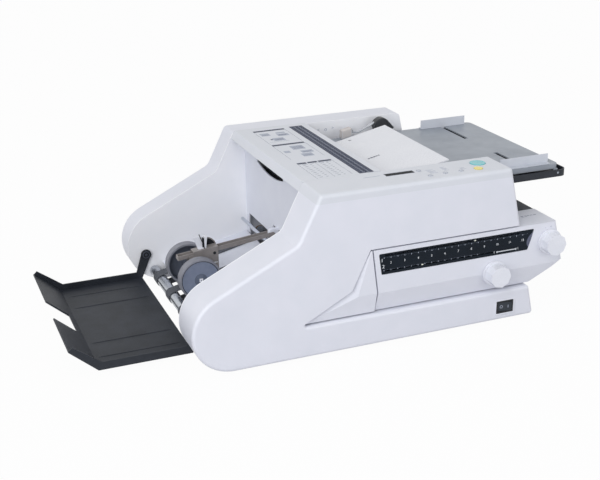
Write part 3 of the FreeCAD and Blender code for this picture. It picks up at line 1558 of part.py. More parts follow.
def make_fold_unit():
    make_unit_housing()
    make_scale()
    make_fold_plate("fold_plate_1", S.plate_left_upper, S.plate_slot_height)
    make_fold_plate("fold_plate_2", S.plate_left_lower, S.lower_slot_height)
    make_side_plates()
    make_stop("stop_1", S.pointer_upper_across, S.plate_slot_height, S.pointer_upper_height)
    make_stop("stop_2", S.pointer_lower_across, S.lower_slot_height, S.pointer_lower_height)
    make_knob("knob_1", knob_1)
    make_knob("knob_2", knob_2)


# ---------------------------------------------------------------- feed side

table_front = S.bay_front + S.table_side_play
table_rear = S.bay_rear - S.table_side_play
flap_lug_z = (S.shelf_top, S.flap_low + S.flap_lug_wall + S.flap_pin_radius)
flap_hinge = (S.flap_hinge_across, S.flap_low)
lift_hinge = (S.lift_hinge_across, S.lift_hinge_height)


def make_feed_table():
    corners = [
        (S.table_left, table_front), (S.table_right, table_front, S.table_round),
        (S.table_right, table_rear, S.table_round), (S.table_left, table_rear),
    ]
    tray = slab("table_tray", "XY", S.table_bottom, S.table_top, corners)
    hollow(tray, S.table_wall, on_plane("z", S.table_top - S.table_bottom))
    wall_right = S.table_left + S.table_wall
    y = (table_front, table_rear)
    shelf = box("table_shelf", (S.shelf_left, wall_right), y, (S.shelf_bottom, S.shelf_top))
    riser = box("table_riser", (S.table_left, wall_right), y, (S.table_top, S.shelf_bottom))
    lugs = []
    for start in (table_front, S.flap_rear + S.slide_play):
        name = "flap_lug_%d" % len(lugs)
        y = (start, start + S.flap_lug_wall)
        lug = box(name, (S.frame_right_upper + S.slide_play, wall_right), y, flap_lug_z)
        bore = rod(name + "_bore", "y", flap_hinge, *y, S.flap_pin_radius + S.run_play)
        lugs.append(cut(name + "_bored", lug, bore))
    full = fuse("table_full", tray, shelf, riser, *lugs)
    bores = rod("lift_bores", "y", lift_hinge, table_front, table_rear, S.lift_pin_radius + S.run_play)
    node("feed_table", cut("table_bored", full, bores))
    pad_x = (S.feed_across - S.pad_length / 2, S.feed_across + S.pad_length / 2)
    pad_y = (bay_middle - S.pad_width / 2, bay_middle + S.pad_width / 2)
    pad_top = S.feed_height - S.feed_radius - S.slide_play
    node("separator_pad", box("pad_block", pad_x, pad_y, (S.shelf_top, pad_top)))


def make_lift_plate():
    front = S.bay_front + S.table_side_play + S.lift_side_play
    rear = S.bay_rear - S.table_side_play - S.lift_side_play
    bottom = S.lift_top - S.lift_height
    corners = [
        (S.lift_left, front), (S.lift_right, front, S.lift_round),
        (S.lift_right, rear, S.lift_round), (S.lift_left, rear),
    ]
    plate = slab("lift_shell", "XY", bottom, S.lift_top, corners)
    hollow(plate, S.table_wall, on_plane("z", 0))
    pieces = [plate]
    for start, pin in ((front, (front - S.lift_side_play, front)),
                       (rear - S.table_wall, (rear, rear + S.lift_side_play))):
        name = "lift_ear_%d" % len(pieces)
        ear_x = (S.lift_hinge_across - S.lift_ear, S.lift_hinge_across + S.lift_ear)
        ear_z = (S.lift_hinge_height - S.lift_ear, bottom)
        pieces.append(box(name, ear_x, (start, start + S.table_wall), ear_z))
        pieces.append(rod(name + "_pin", "y", lift_hinge, *pin, S.lift_pin_radius))
    slots = []
    for side in (-1, 1):
        slots.append(box("guide_slot_%d" % (side + 1), guide_slot_x(S.slide_play), guide_slot_y(side),
                         (S.lift_top - S.table_wall, S.lift_top)))
    node("lift_plate", cut("lift_slotted", fuse("lift_full", *pieces), *slots))


def guide_slot_x(play):
    middle = S.guide_left + S.guide_length / 2
    return middle - S.guide_tongue / 2 - play, middle + S.guide_tongue / 2 + play


def guide_slot_y(side):
    outer = bay_middle + side * (S.paper_width / 2 + S.guide_clear + S.guide_foot + S.slide_play)
    inner = bay_middle + side * (S.paper_width / 2 - S.guide_travel - S.slide_play)
    return (outer, inner)[::-side]


def make_guide(name, side):
    """Upright guide on a foot, held in its slot by a tongue and a head below the plate."""
    face = bay_middle + side * (S.paper_width / 2 + S.guide_clear)
    back = face + side * S.guide_wall
    outer = face + side * S.guide_foot
    base = S.lift_top + S.slide_play
    x = (S.guide_left, S.guide_left + S.guide_length)
    wall = box(name + "_wall", x, (face, back)[::side], (base, base + S.guide_height))
    foot = box(name + "_foot", x, (face, outer)[::side], (base, base + S.guide_wall))
    under = S.lift_top - S.table_wall - S.slide_play
    tongue_y = (face, outer)[::side]
    tongue = box(name + "_tongue", guide_slot_x(size(0)), tongue_y, (under, base))
    head = box(name + "_head", guide_slot_x(-S.guide_wall), tongue_y, (under - S.guide_wall, under))
    node(name, fuse(name + "_full", wall, foot, tongue, head))


def make_flap():
    front = table_front + S.flap_lug_wall + S.slide_play
    plate = slab("flap_plate", "XZ", front, S.flap_rear, [
        (S.flap_left, S.flap_low - S.flap_wall), (S.flap_right, S.flap_high - S.flap_wall),
        (S.flap_right, S.flap_high), (S.flap_left, S.flap_low),
    ])
    pin_end = S.flap_rear + S.slide_play + S.flap_lug_wall
    pin = rod("flap_pin", "y", flap_hinge, table_front, pin_end, S.flap_pin_radius)
    hub = rod("flap_hub", "y", flap_hinge, front, S.flap_rear, S.flap_hub_radius)
    node("feed_flap", fuse("flap_full", plate, pin, hub))


def strut(name, start, finish, depth, radius):
    """Round bar between two points (across, up), at one depth."""
    run, rise = size(finish[0]) - start[0], size(finish[1]) - start[1]
    item = doc.addObject("Part::Cylinder", name)
    bind(item, Radius=radius, Height=root(run * run + rise * rise))
    item.Placement = FreeCAD.Placement(FreeCAD.Vector(), FreeCAD.Rotation(FreeCAD.Vector(0, 1, 0), 1))
    item.setExpression("Placement.Rotation.Angle", "%s * 1 deg" % (size(90) - bearing(rise, run)).formula)
    place(item, x=start[0], y=depth, z=start[1])
    return item


def make_feed_lever():
    """Lever with a tangent tail on its hub and a bent rod that ends in a block."""
    centre = (S.lever_across, S.lever_height)
    back = S.lever_front + S.lever_thick
    hub = rod("lever_hub", "y", centre, S.lever_front, back, S.lever_radius)
    shaft = rod("lever_shaft", "y", centre, back, panel_rear_outer + S.panel_wall, S.lever_shaft_radius)
    out = (sine(S.lever_tail_angle), cosine(S.lever_tail_angle))
    inner = S.lever_radius - S.lever_tail_thick

    def beside_hub(distance, along):
        """Point at a distance from the hub's centre line and so far along the tail."""
        return centre[0] + out[0] * distance + out[1] * along, centre[1] + out[1] * distance - out[0] * along
    tail = slab("lever_tail", "XZ", S.lever_front, back, [
        beside_hub(S.lever_radius, 0), beside_hub(inner, 0),
        beside_hub(inner, S.lever_tail_length), beside_hub(S.lever_radius, S.lever_tail_length),
    ])
    left, right = S.lever_block_left, S.lever_block_right
    low, lean, tall = S.lever_block_low, S.lever_block_lean, S.lever_block_tall
    block = slab("lever_block", "XZ", S.lever_front, back, [
        (left, low), (right, low + lean), (right, low + lean + tall), (left, low + tall),
    ])
    middle = (S.lever_front + back) / 2
    elbow = (S.lever_elbow_across, S.lever_elbow_height)
    link_start = (right - S.lever_rod_radius, low + lean + tall / 2)
    link = strut("lever_link", link_start, elbow, middle, S.lever_rod_radius)
    rod_end = (S.lever_across - S.lever_radius + S.lever_rod_radius, S.lever_rod_top)
    handle = strut("lever_rod", elbow, rod_end, middle, S.lever_rod_radius)
    ball = doc.addObject("Part::Sphere", "lever_elbow")
    bind(ball, Radius=S.lever_rod_radius)
    place(ball, x=elbow[0], y=middle, z=elbow[1])
    node("feed_lever", fuse("lever_full", hub, shaft, tail, block, link, handle, ball))


# ---------------------------------------------------------------- power switch and inlet

def make_switch():
    outer_x = (S.switch_left, S.switch_left + S.switch_width)
    outer_z = (S.switch_bottom, S.switch_bottom + S.switch_height)
    front = S.case_front - S.switch_proud
    back = S.case_front + S.switch_sunk
    flange = box("bezel_flange", outer_x, (front, S.case_front), outer_z)
    sleeve = box("bezel_sleeve", switch_x, (S.case_front, back), switch_z)
    room_x = (outer_x[0] + S.switch_rim, outer_x[1] - S.switch_rim)
    room_z = (outer_z[0] + S.switch_rim, outer_z[1] - S.switch_rim)
    room = box("bezel_room", room_x, (front, back), room_z)
    pivot = (S.switch_left + S.switch_width / 2, S.case_front + S.rocker_sunk)
    pin_z = (room_z[0] - S.rocker_pin, room_z[1] + S.rocker_pin)
    holes = rod("bezel_pin_holes", "z", pivot, *pin_z, S.rocker_pin + S.run_play)
    node("switch_bezel", cut("bezel_cut", fuse("bezel_full", flange, sleeve), room, holes))
    half = S.switch_width / 2 - S.switch_rim - 2 * S.slide_play
    depth = S.rocker_depth
    face = -depth / 3
    body = doc.addObject("PartDesign::Body", "rocker_body")
    pad_outline(body, "rocker", "XY", [
        (-half, face), (0, face * S.rocker_bow), (half, face),
        (half * S.rocker_taper, depth / 2), (-half * S.rocker_taper, depth / 2),
    ], room_z[1] - room_z[0] - 2 * S.slide_play)
    body.Placement = FreeCAD.Placement(FreeCAD.Vector(), FreeCAD.Rotation(FreeCAD.Vector(0, 0, 1), 1))
    body.setExpression("Placement.Rotation.Angle", "%s * 1 deg" % S.switch_tilt.formula)
    place(body, x=pivot[0], y=pivot[1], z=room_z[0] + S.slide_play)
    pins = rod("rocker_pins", "z", pivot, pin_z[0] + S.run_play, pin_z[1] - S.run_play, S.rocker_pin)
    node("power_rocker", fuse("rocker_full", body, pins))


def make_inlet():
    inner = S.case_rear - S.case_wall
    flange_x = (S.inlet_across - S.inlet_width / 2, S.inlet_across + S.inlet_width / 2)
    flange_z = (S.inlet_height - S.inlet_tall / 2, S.inlet_height + S.inlet_tall / 2)
    flange = box("inlet_flange", flange_x, (inner - S.inlet_flange, inner), flange_z)
    block = box("inlet_block", socket_x, (S.case_rear - S.inlet_sunk, S.case_rear), socket_z)
    hole_x = (socket_x[0] + S.inlet_flange, socket_x[1] - S.inlet_flange)
    hole_z = (socket_z[0] + S.inlet_flange, socket_z[1] - S.inlet_flange)
    socket = box("inlet_socket", hole_x, (S.case_rear - S.inlet_socket_depth, S.case_rear), hole_z)
    pins = []
    for step in (-1, 0, 1):
        across = S.inlet_across + step * S.inlet_pin_pitch
        x = (across - S.inlet_pin / 2, across + S.inlet_pin / 2)
        z = (S.inlet_height - S.inlet_pin, S.inlet_height + S.inlet_pin)
        y = (S.case_rear - S.inlet_socket_depth, S.case_rear - S.inlet_flange)
        pins.append(box("inlet_pin_%d" % (step + 1), x, y, z))
    node("power_inlet", fuse("inlet_full", cut("inlet_hollow", fuse("inlet_solid", flange, block), socket), *pins))


for build in (
    make_front_cover, make_rear_cover, make_front_panel, make_rear_panel, make_frames, make_tie_bars,
    make_base_pan, make_feet, make_delivery_wall, make_front_trim, make_rollers, make_bearings, make_motor,
    make_conveyor, make_arm, make_carriage, make_exit_tray, make_top_cover, make_deck, make_fold_unit,
    make_feed_table, make_lift_plate, make_flap, make_feed_lever, make_switch, make_inlet,
):
    build()
make_guide("front_guide", -1)
make_guide("rear_guide", 1)

doc.recompute()
os.makedirs("parts", exist_ok=True)
for item in doc.Objects:
    if {"Invalid", "Error"} & set(item.State):
        raise RuntimeError("%s is %s" % (item.Name, item.State))
for item in nodes:
    if item.Shape.isNull() or not item.Shape.isValid():
        raise RuntimeError("%s has no valid shape" % item.Label)
for item in nodes:
    item.Shape.exportStep("parts/%s.step" % item.Label)
    print(item.Label, len(item.Shape.Solids), round(item.Shape.Volume / 1000, 2))
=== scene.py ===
"""Paper folding machine, dressed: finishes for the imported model, and the small parts that its solids lack."""
import math
import bmesh
import bpy
import numpy as np
from mathutils import Matrix, Vector


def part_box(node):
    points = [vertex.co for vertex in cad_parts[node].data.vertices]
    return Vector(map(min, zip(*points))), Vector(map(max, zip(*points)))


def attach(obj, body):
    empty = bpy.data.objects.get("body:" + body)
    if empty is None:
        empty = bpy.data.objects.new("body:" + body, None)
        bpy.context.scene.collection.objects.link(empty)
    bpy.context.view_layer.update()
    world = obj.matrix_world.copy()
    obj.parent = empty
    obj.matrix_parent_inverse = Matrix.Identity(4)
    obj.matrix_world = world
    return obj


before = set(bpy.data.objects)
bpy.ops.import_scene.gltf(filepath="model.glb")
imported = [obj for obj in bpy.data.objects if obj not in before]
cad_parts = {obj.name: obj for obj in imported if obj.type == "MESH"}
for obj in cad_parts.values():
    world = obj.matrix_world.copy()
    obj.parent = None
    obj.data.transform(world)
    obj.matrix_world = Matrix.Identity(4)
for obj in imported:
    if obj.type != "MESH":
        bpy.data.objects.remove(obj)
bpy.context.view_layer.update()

MM = 0.001


# ---------------------------------------------------------------- places taken from the frame, in millimetres

def low(part):
    """The lowest corner of a part of the frame, in millimetres."""
    return np.array(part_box(part)[0]) / MM


def high(part):
    """The highest corner of a part of the frame, in millimetres."""
    return np.array(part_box(part)[1]) / MM


def middle(part):
    """The middle of a part of the frame, in millimetres."""
    return (low(part) + high(part)) / 2


class Face:
    """A flat face to print or screw on: a corner of it, its way to the right, its way up, and outwards."""

    def __init__(self, corner, right, up):
        self.corner = np.array(corner, float)
        self.right = np.array(right, float) / np.linalg.norm(right)
        self.up = np.array(up, float) / np.linalg.norm(up)
        self.out = np.cross(self.right, self.up)

    def at(self, points):
        """Points given as right, up and out on the face, as places in millimetres."""
        points = np.asarray(points, float)
        return self.corner + points @ np.array([self.right, self.up, self.out])

    def matrix(self):
        """The same for an object that is drawn in metres on its own flat."""
        turn = Matrix(np.array([self.right, self.up, self.out]).T.tolist()).to_4x4()
        return Matrix.Translation(Vector(self.corner * MM)) @ turn


def top_of(part):
    """The level face at the top of a part, seen from above with the machine's front at the bottom."""
    return Face((0, 0, high(part)[2]), (1, 0, 0), (0, 1, 0))


def upright(depth):
    """The upright face so far behind the middle that looks to the machine's front."""
    return Face((0, depth, 0), (1, 0, 0), (0, 0, 1))


# ---------------------------------------------------------------- shapes, as points in millimetres and faces

def skin(points, wrap_rows=False, wrap_columns=False):
    """The skin over a grid of points (rows x columns x 3): one face between each four neighbours, and with a
    wrap the last row or column joins the first."""
    rows, columns = points.shape[:2]
    number = np.arange(rows * columns).reshape(rows, columns)
    if wrap_rows:
        number = np.vstack([number, number[:1]])
    if wrap_columns:
        number = np.hstack([number, number[:, :1]])
    corners = [number[:-1, :-1], number[1:, :-1], number[1:, 1:], number[:-1, 1:]]
    return points.reshape(-1, 3), np.stack(corners, -1).reshape(-1, 4)


def joined(shapes):
    """Several shapes as one: their points in a row, and each shape's faces counted from its first point."""
    starts = np.cumsum([0] + [len(shape[0]) for shape in shapes])
    points = np.vstack([shape[0] for shape in shapes])
    return points, np.vstack([shape[1] + start for shape, start in zip(shapes, starts)])


def turned(profile, steps):
    """A shape of revolution about its own z: a profile of (radius, height) pairs, carried round a circle."""
    profile = np.asarray(profile, float)
    angle = np.linspace(0, 2 * math.pi, steps, endpoint=False)[:, None]
    radius, height = profile[None, :, 0], profile[None, :, 1]
    grid = np.stack([radius * np.cos(angle), radius * np.sin(angle), height + 0 * angle], -1)
    return skin(grid, wrap_rows=True)


def on_face(shape, face, right=0.0, up=0.0):
    """A shape drawn about its own z, moved to a place on a face with its z pointing outwards."""
    points, faces = shape
    return face.at(points + np.array([right, up, 0.0])), faces


# A way that none of the tubes runs, so that it always has a part square to them.
OFF_ALL_PATHS = (0.13, 0.21, 1.0)


def tube(path, radius, sides):
    """A round bar along a path: at each point of the path, a circle square to the way the path runs there."""
    path = np.asarray(path, float)
    along = np.gradient(path, axis=0)
    along /= np.linalg.norm(along, axis=1, keepdims=True)
    side = np.cross(along, OFF_ALL_PATHS)
    side /= np.linalg.norm(side, axis=1, keepdims=True)
    rise = np.cross(side, along)
    angle = np.linspace(0, 2 * math.pi, sides, endpoint=False)[None, :, None]
    ring = path[:, None] + radius * (np.cos(angle) * side[:, None] + np.sin(angle) * rise[:, None])
    ends = np.repeat(path[[0, -1]][:, None], sides, axis=1)
    return skin(np.concatenate([ends[:1], ring, ends[1:]]), wrap_columns=True)


def plates(boxes, face, thick):
    """Thin plates on a face, such as print: each row of boxes is left, low, right, high; all are closed."""
    boxes = np.asarray(boxes, float).reshape(-1, 4)
    round_once = [[0, 0], [1, 0], [1, 1], [0, 1]]
    corner = np.c_[round_once * 2, np.repeat([0, 1], 4)]
    start = np.c_[boxes[:, :2], np.zeros(len(boxes))][:, None]
    span = np.c_[boxes[:, 2:] - boxes[:, :2], np.full(len(boxes), thick)][:, None]
    points = face.at((start + corner[None] * span).reshape(-1, 3))
    sides = np.array([[0, 3, 2, 1], [4, 5, 6, 7], [0, 1, 5, 4], [1, 2, 6, 5], [2, 3, 7, 6], [3, 0, 4, 7]])
    return points, (sides[None] + 8 * np.arange(len(boxes))[:, None, None]).reshape(-1, 4)


# Edges that bend by less than this are shaded smooth.
SMOOTH_UNDER = math.radians(35)


def piece(name, shape, material, body):
    """A finished object: the shape in metres, its doubles merged, its faces outwards, its sharp edges marked,
    its material on, riding on its body."""
    points, faces = shape
    mesh = bpy.data.meshes.new(name)
    mesh.from_pydata((points * MM).tolist(), [], faces.tolist())
    dressed_mesh(name, mesh, material, body)


def dressed_mesh(name, mesh, material, body):
    """The same for a mesh that is already in place, in metres."""
    work = bmesh.new()
    work.from_mesh(mesh)
    bmesh.ops.remove_doubles(work, verts=work.verts, dist=1e-6)
    bmesh.ops.dissolve_degenerate(work, edges=work.edges, dist=1e-7)
    bmesh.ops.recalc_face_normals(work, faces=work.faces)
    for edge in work.edges:
        edge.smooth = len(edge.link_faces) == 2 and edge.calc_face_angle(0.0) < SMOOTH_UNDER
    for skin_face in work.faces:
        skin_face.smooth = True
    work.to_mesh(mesh)
    work.free()
    made = bpy.data.objects.new(name, mesh)
    bpy.context.scene.collection.objects.link(made)
    mesh.materials.append(material)
    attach(made, body)


# How far print stands on its face, in millimetres, and the font's size for a capital that is 1 high.
INK = 0.12
SIZE_OF_CAPITAL = 1.35


def lettering(words, face, thick=INK):
    """One mesh of words and figures: each is its text, its height, and where its middle is on the face."""
    whole = bmesh.new()
    for text, height, right, up in words:
        curve = bpy.data.curves.new("lettering", "FONT")
        curve.body = text
        curve.size = height * MM * SIZE_OF_CAPITAL
        curve.align_x = "CENTER"
        curve.align_y = "CENTER"
        curve.extrude = thick * MM / 2
        curve.resolution_u = 3
        letters = bpy.data.objects.new("lettering", curve)
        flat = bpy.data.meshes.new_from_object(letters)
        flat.transform(face.matrix() @ Matrix.Translation((right * MM, up * MM, thick * MM / 2)))
        whole.from_mesh(flat)
        bpy.data.objects.remove(letters)
        bpy.data.curves.remove(curve)
        bpy.data.meshes.remove(flat)
    mesh = bpy.data.meshes.new("lettering")
    whole.to_mesh(mesh)
    whole.free()
    return mesh


# ---------------------------------------------------------------- finishes

def colour(code):
    """An sRGB hex colour as the linear colour that the nodes take."""
    srgb = np.array([int(code[place:place + 2], 16) for place in (1, 3, 5)]) / 255
    linear = np.where(srgb <= 0.04045, srgb / 12.92, ((srgb + 0.055) / 1.055) ** 2.4)
    return (*linear.tolist(), 1.0)


def add(material, kind, inputs=(), **settings):
    """Adds one node to a material, with its settings, and its inputs as numbers, colours or other sockets."""
    made = material.node_tree.nodes.new("ShaderNode" + kind)
    for name, value in settings.items():
        setattr(made, name, value)
    for name, value in dict(inputs).items():
        if isinstance(value, bpy.types.NodeSocket):
            material.node_tree.links.new(value, made.inputs[name])
        else:
            made.inputs[name].default_value = value
    return made


def new_finish(name):
    """An empty material, and the place on the object in millimetres."""
    material = bpy.data.materials.new(name)
    material.use_nodes = True
    material.node_tree.nodes.clear()
    metres = add(material, "TexCoord").outputs["Object"]
    place = add(material, "VectorMath", {0: metres, "Scale": 1 / MM}, operation="SCALE")
    return material, place.outputs["Vector"]


def shaded(material, inputs):
    """The material with its shader: the inputs are numbers, or sockets of the nodes added before."""
    shader = add(material, "BsdfPrincipled", inputs)
    add(material, "OutputMaterial", {"Surface": shader.outputs["BSDF"]})
    return material


def grain(material, place, width, stretch=(1, 1, 1), detail=2.0, seed=0.0):
    """Noise whose marks are about width millimetres across, longer by stretch along each axis."""
    scale = [1 / (width * longer) for longer in stretch]
    spread = add(material, "Mapping", {"Vector": place, "Scale": scale, "Location": (seed, seed, seed)})
    noise = {"Vector": spread.outputs["Vector"], "Scale": 1.0, "Detail": detail}
    return add(material, "TexNoise", noise).outputs["Fac"]


# The part of its range from 0 to 1 in which nearly all of the noise lies.
NOISE_LOW, NOISE_HIGH = 0.3, 0.7
# A Mix node's colour sockets, by number, because its other types of socket have the same names.
FIRST_COLOUR, SECOND_COLOUR, MIXED_COLOUR = 6, 7, 2


def between(material, factor, first, second):
    """A colour that runs from first to second as factor runs over the noise's part of the range."""
    share = add(material, "MapRange", {"Value": factor, "From Min": NOISE_LOW, "From Max": NOISE_HIGH})
    tones = {"Factor": share.outputs["Result"], FIRST_COLOUR: colour(first), SECOND_COLOUR: colour(second)}
    return add(material, "Mix", tones, data_type="RGBA").outputs[MIXED_COLOUR]


# How much rougher and smoother than its mean a finish gets from spot to spot; the roughness of a clear coat.
ROUGH_SPREAD = 0.06
COAT_ROUGH = 0.12


def plain_finish(name, light, dark, rough, *, cloud=45.0, grit=0.9, relief=0.02, stretch=(1, 1, 1), metal=0.0,
                 ior=1.5, coat=0.0, gloss=0.5):
    """A finish with a faint cloud of two tones and a fine relief: cloud and grit are how wide their marks
    are, relief is how high it stands, in millimetres."""
    material, place = new_finish(name)
    tone = grain(material, place, cloud, detail=3.0)
    fine = grain(material, place, grit, stretch, seed=7.0)
    spots = add(material, "MapRange", {"Value": fine, "From Min": NOISE_LOW, "From Max": NOISE_HIGH,
                                       "To Min": rough - ROUGH_SPREAD, "To Max": rough + ROUGH_SPREAD})
    bump = add(material, "Bump", {"Height": fine, "Distance": relief * MM})
    return shaded(material, {
        "Base Color": between(material, tone, dark, light), "Roughness": spots.outputs["Result"],
        "Normal": bump.outputs["Normal"], "Metallic": metal, "IOR": ior, "Specular IOR Level": gloss,
        "Coat Weight": coat, "Coat Roughness": COAT_ROUGH})


# Moulded ABS covers: a spark-eroded mould leaves grit of 0.3 mm, drawn at 0.9 mm to show; satin sheen.
COVER_ABS = plain_finish("moulded_abs_pale", "#dbdde7", "#d7dae4", 0.36, relief=0.012, ior=1.53)
# Top cover and operator deck: the same ABS with a slightly greyer, flatter top face.
DECK_ABS = plain_finish("moulded_abs_deck", "#d4d7df", "#d0d4dc", 0.42, relief=0.016, ior=1.53)
# Inner cheeks of the delivery bay: thinner ABS, painted near white where the covers are tinted: painted light
# for the light that reaches into the bay.
CHEEK_ABS_PAINTED_LIGHT = plain_finish("moulded_abs_cheek_painted_light", "#f4f5fa", "#f0f2f8", 0.46, relief=0.016, ior=1.53)
# Powder coat on folded sheet steel: soft orange peel about 2 mm across.
POWDER_COAT = plain_finish("powder_coat_pale_grey", "#dee1eb", "#dadde8", 0.48, grit=2.2, relief=0.03)
# Knobs, clamp and the axle's end pieces: ABS, whiter and glossier than the covers.
KNOB_ABS = plain_finish("moulded_abs_knob", "#e4e6ee", "#dde0e9", 0.3, relief=0.008, ior=1.53)
# Exit tray and feed table: charcoal ABS, whose coarse leather-like grain catches the light in grey specks.
TRAY_ABS = plain_finish("grained_abs_charcoal", "#2a2e36", "#1f232a", 0.52, grit=1.4, relief=0.05, cloud=30.0,
                        gloss=0.3)
# Feed flap: whitish polycarbonate, smooth enough to show a soft window of light.
FLAP_PC = plain_finish("smooth_polycarbonate_white", "#e1e3e9", "#dddfe6", 0.28, relief=0.006, ior=1.58)
# Lift plate: grey ABS worn smooth by paper in long streaks along the feed.
LIFT_ABS = plain_finish("worn_abs_mid_grey", "#99a0aa", "#8b929d", 0.4, grit=1.2, stretch=(14, 1, 1),
                        relief=0.01)
# Paper guides: thin pale ABS.
GUIDE_ABS = plain_finish("moulded_abs_guide", "#cdd1da", "#c3c8d2", 0.4, relief=0.012, ior=1.53)
# Arm and carriage: taupe baked enamel on folded steel, with a low even gloss.
ARM_ENAMEL = plain_finish("baked_enamel_taupe", "#8d8887", "#7f7a79", 0.36, grit=1.8, relief=0.015,
                          cloud=16.0)
# Fold plates: dark electro-coated sheet.
PLATE_COAT = plain_finish("electrocoat_dark", "#2b323d", "#222932", 0.42, grit=1.6, relief=0.015, gloss=0.3)
# Power inlet, switch bezel and small dark mouldings: black nylon, with a low sheen. It also draws the thin ring
# of painted shade inside each wheel's tread.
INLET_NYLON = plain_finish("moulded_nylon_black", "#1d2025", "#15181c", 0.45, relief=0.01, gloss=0.3)
# Rocker: the same nylon, a shade lighter and smoother where fingers press it.
ROCKER_NYLON = plain_finish("moulded_nylon_rocker", "#2b323b", "#232a32", 0.34, relief=0.006, gloss=0.35)
# Rings on the tray's hubs: dark grey nylon, shiny where the mould was polished.
GREY_NYLON = plain_finish("moulded_nylon_dark_grey", "#454a55", "#3b404b", 0.3, relief=0.006, gloss=0.4)
# Feet and separator pad: moulded rubber, dusty and matt.
FOOT_RUBBER = plain_finish("moulded_rubber_black", "#33353a", "#26282c", 0.82, grit=1.0, relief=0.03)
# Bearings: sintered bronze, open-pored and dull.
BRONZE = plain_finish("sintered_bronze", "#b08d57", "#8f7144", 0.46, grit=0.8, relief=0.03, metal=1.0)
# Shafts and tie bars: ground steel, with fine lines of light along the bar.
GROUND_STEEL = plain_finish("ground_steel", "#c4c8ce", "#aeb3ba", 0.26, grit=0.5, stretch=(6, 6, 1),
                            relief=0.004, metal=1.0)
# Fold unit's side plates: zinc-plated pressings, bright with a cloud of crystals.
ZINC = plain_finish("zinc_plate", "#c4c9d1", "#b6bdc8", 0.34, cloud=9.0, grit=1.1, relief=0.006, metal=1.0)
# Scale and ruler: polyester film, printed near black and navy, satin.
SCALE_FILM = plain_finish("printed_film_near_black", "#151d27", "#10171f", 0.3, relief=0.004, gloss=0.12)
RULER_FILM = plain_finish("printed_film_navy", "#28314a", "#212a41", 0.4, relief=0.004, gloss=0.08)
# Moulded end of the scale's window, curved in front of the dark film: its grey, much lighter than the film, is
# painted light on the curve.
WINDOW_END_PAINTED_LIGHT = plain_finish("window_end_painted_light", "#51566c", "#474c62", 0.2, relief=0.004, gloss=0.5)
# Print on films and covers: screen ink in four tones, matt.
WHITE_INK = plain_finish("screen_ink_white", "#e8ecf1", "#d7dce3", 0.5, grit=0.5, relief=0.006)
GREY_INK = plain_finish("screen_ink_grey", "#757d8f", "#697184", 0.5, grit=0.5, relief=0.006, gloss=0.3)
DARK_INK = plain_finish("screen_ink_slate", "#3f475b", "#363e51", 0.5, grit=0.5, relief=0.006, gloss=0.2)
PALE_INK = plain_finish("screen_ink_pale_grey", "#a9b0bf", "#9ea5b6", 0.5, grit=0.5, relief=0.006)
# Guide bar: chromed steel, nearly a mirror, with a faint grain across it.
CHROME = plain_finish("chromed_steel", "#d5d9df", "#c3c8d0", 0.14, grit=0.6, stretch=(6, 1, 6), relief=0.002,
                      metal=1.0)
# Lever grip: warm grey thermoplastic rubber, dull and slightly soft to the eye.
GRIP_RUBBER = plain_finish("thermoplastic_rubber_greige", "#d6d1d0", "#c9c4c3", 0.6, grit=1.0, relief=0.03)
# Boss of the press wheels: the disc's plastic painted a shade darker, painted shade round the hub, and rubbed
# smooth.
BOSS_NYLON_PAINTED_SHADE = plain_finish("moulded_nylon_slate_painted_shade", "#5d6577", "#535b6c", 0.3, relief=0.006)
# Screws, and the clamp's rod: black-oxide steel, satin.
BLACK_OXIDE = plain_finish("black_oxide_steel", "#3a3c40", "#2d2f33", 0.4, grit=0.6, relief=0.006, metal=0.7)
# Collar on the lever's rod: filled nylon, duller than the hub.
COLLAR_NYLON = plain_finish("filled_nylon_collar", "#26282c", "#1d1f23", 0.5, grit=0.6, relief=0.01)
# Buttons and keys: acrylic caps with a gloss top.
TEAL_ACRYLIC = plain_finish("acrylic_teal", "#55bfc6", "#48b2ba", 0.22, relief=0.004, ior=1.49, coat=0.4)
YELLOW_ACRYLIC = plain_finish("acrylic_yellow", "#ead85c", "#dfcb4d", 0.22, relief=0.004, ior=1.49, coat=0.4)
GREY_ACRYLIC = plain_finish("acrylic_grey", "#b4bac6", "#a7aebb", 0.26, relief=0.004, ior=1.49, coat=0.3)
# Display window: tinted acrylic over a dark display, so deep that it hardly mirrors.
WINDOW_ACRYLIC = plain_finish("tinted_acrylic_black", "#0f1216", "#0b0d11", 0.3, relief=0.002, ior=1.49,
                              gloss=0.03)
# Motor: lacquered steel can, the metal's shine under the grey.
MOTOR_PAINT = plain_finish("motor_lacquer_dark", "#4d525b", "#41464f", 0.35, grit=1.4, relief=0.02, metal=0.6)
# Motor pinion: steel, its teeth hobbed and left bare.
PINION_STEEL = plain_finish("hobbed_steel", "#a9aeb6", "#8d939c", 0.34, grit=0.6, relief=0.01, metal=1.0)


def across(material, place, centre, axis):
    """How far a place is from an axis through centre, in millimetres: the length of what is square to it."""
    flat = [0.0 if letter == axis else 1.0 for letter in "XYZ"]
    offset = add(material, "VectorMath", {0: place, 1: tuple(centre)}, operation="SUBTRACT").outputs["Vector"]
    kept = add(material, "VectorMath", {0: offset, 1: flat}, operation="MULTIPLY").outputs["Vector"]
    return add(material, "VectorMath", {0: kept}, operation="LENGTH").outputs["Value"]


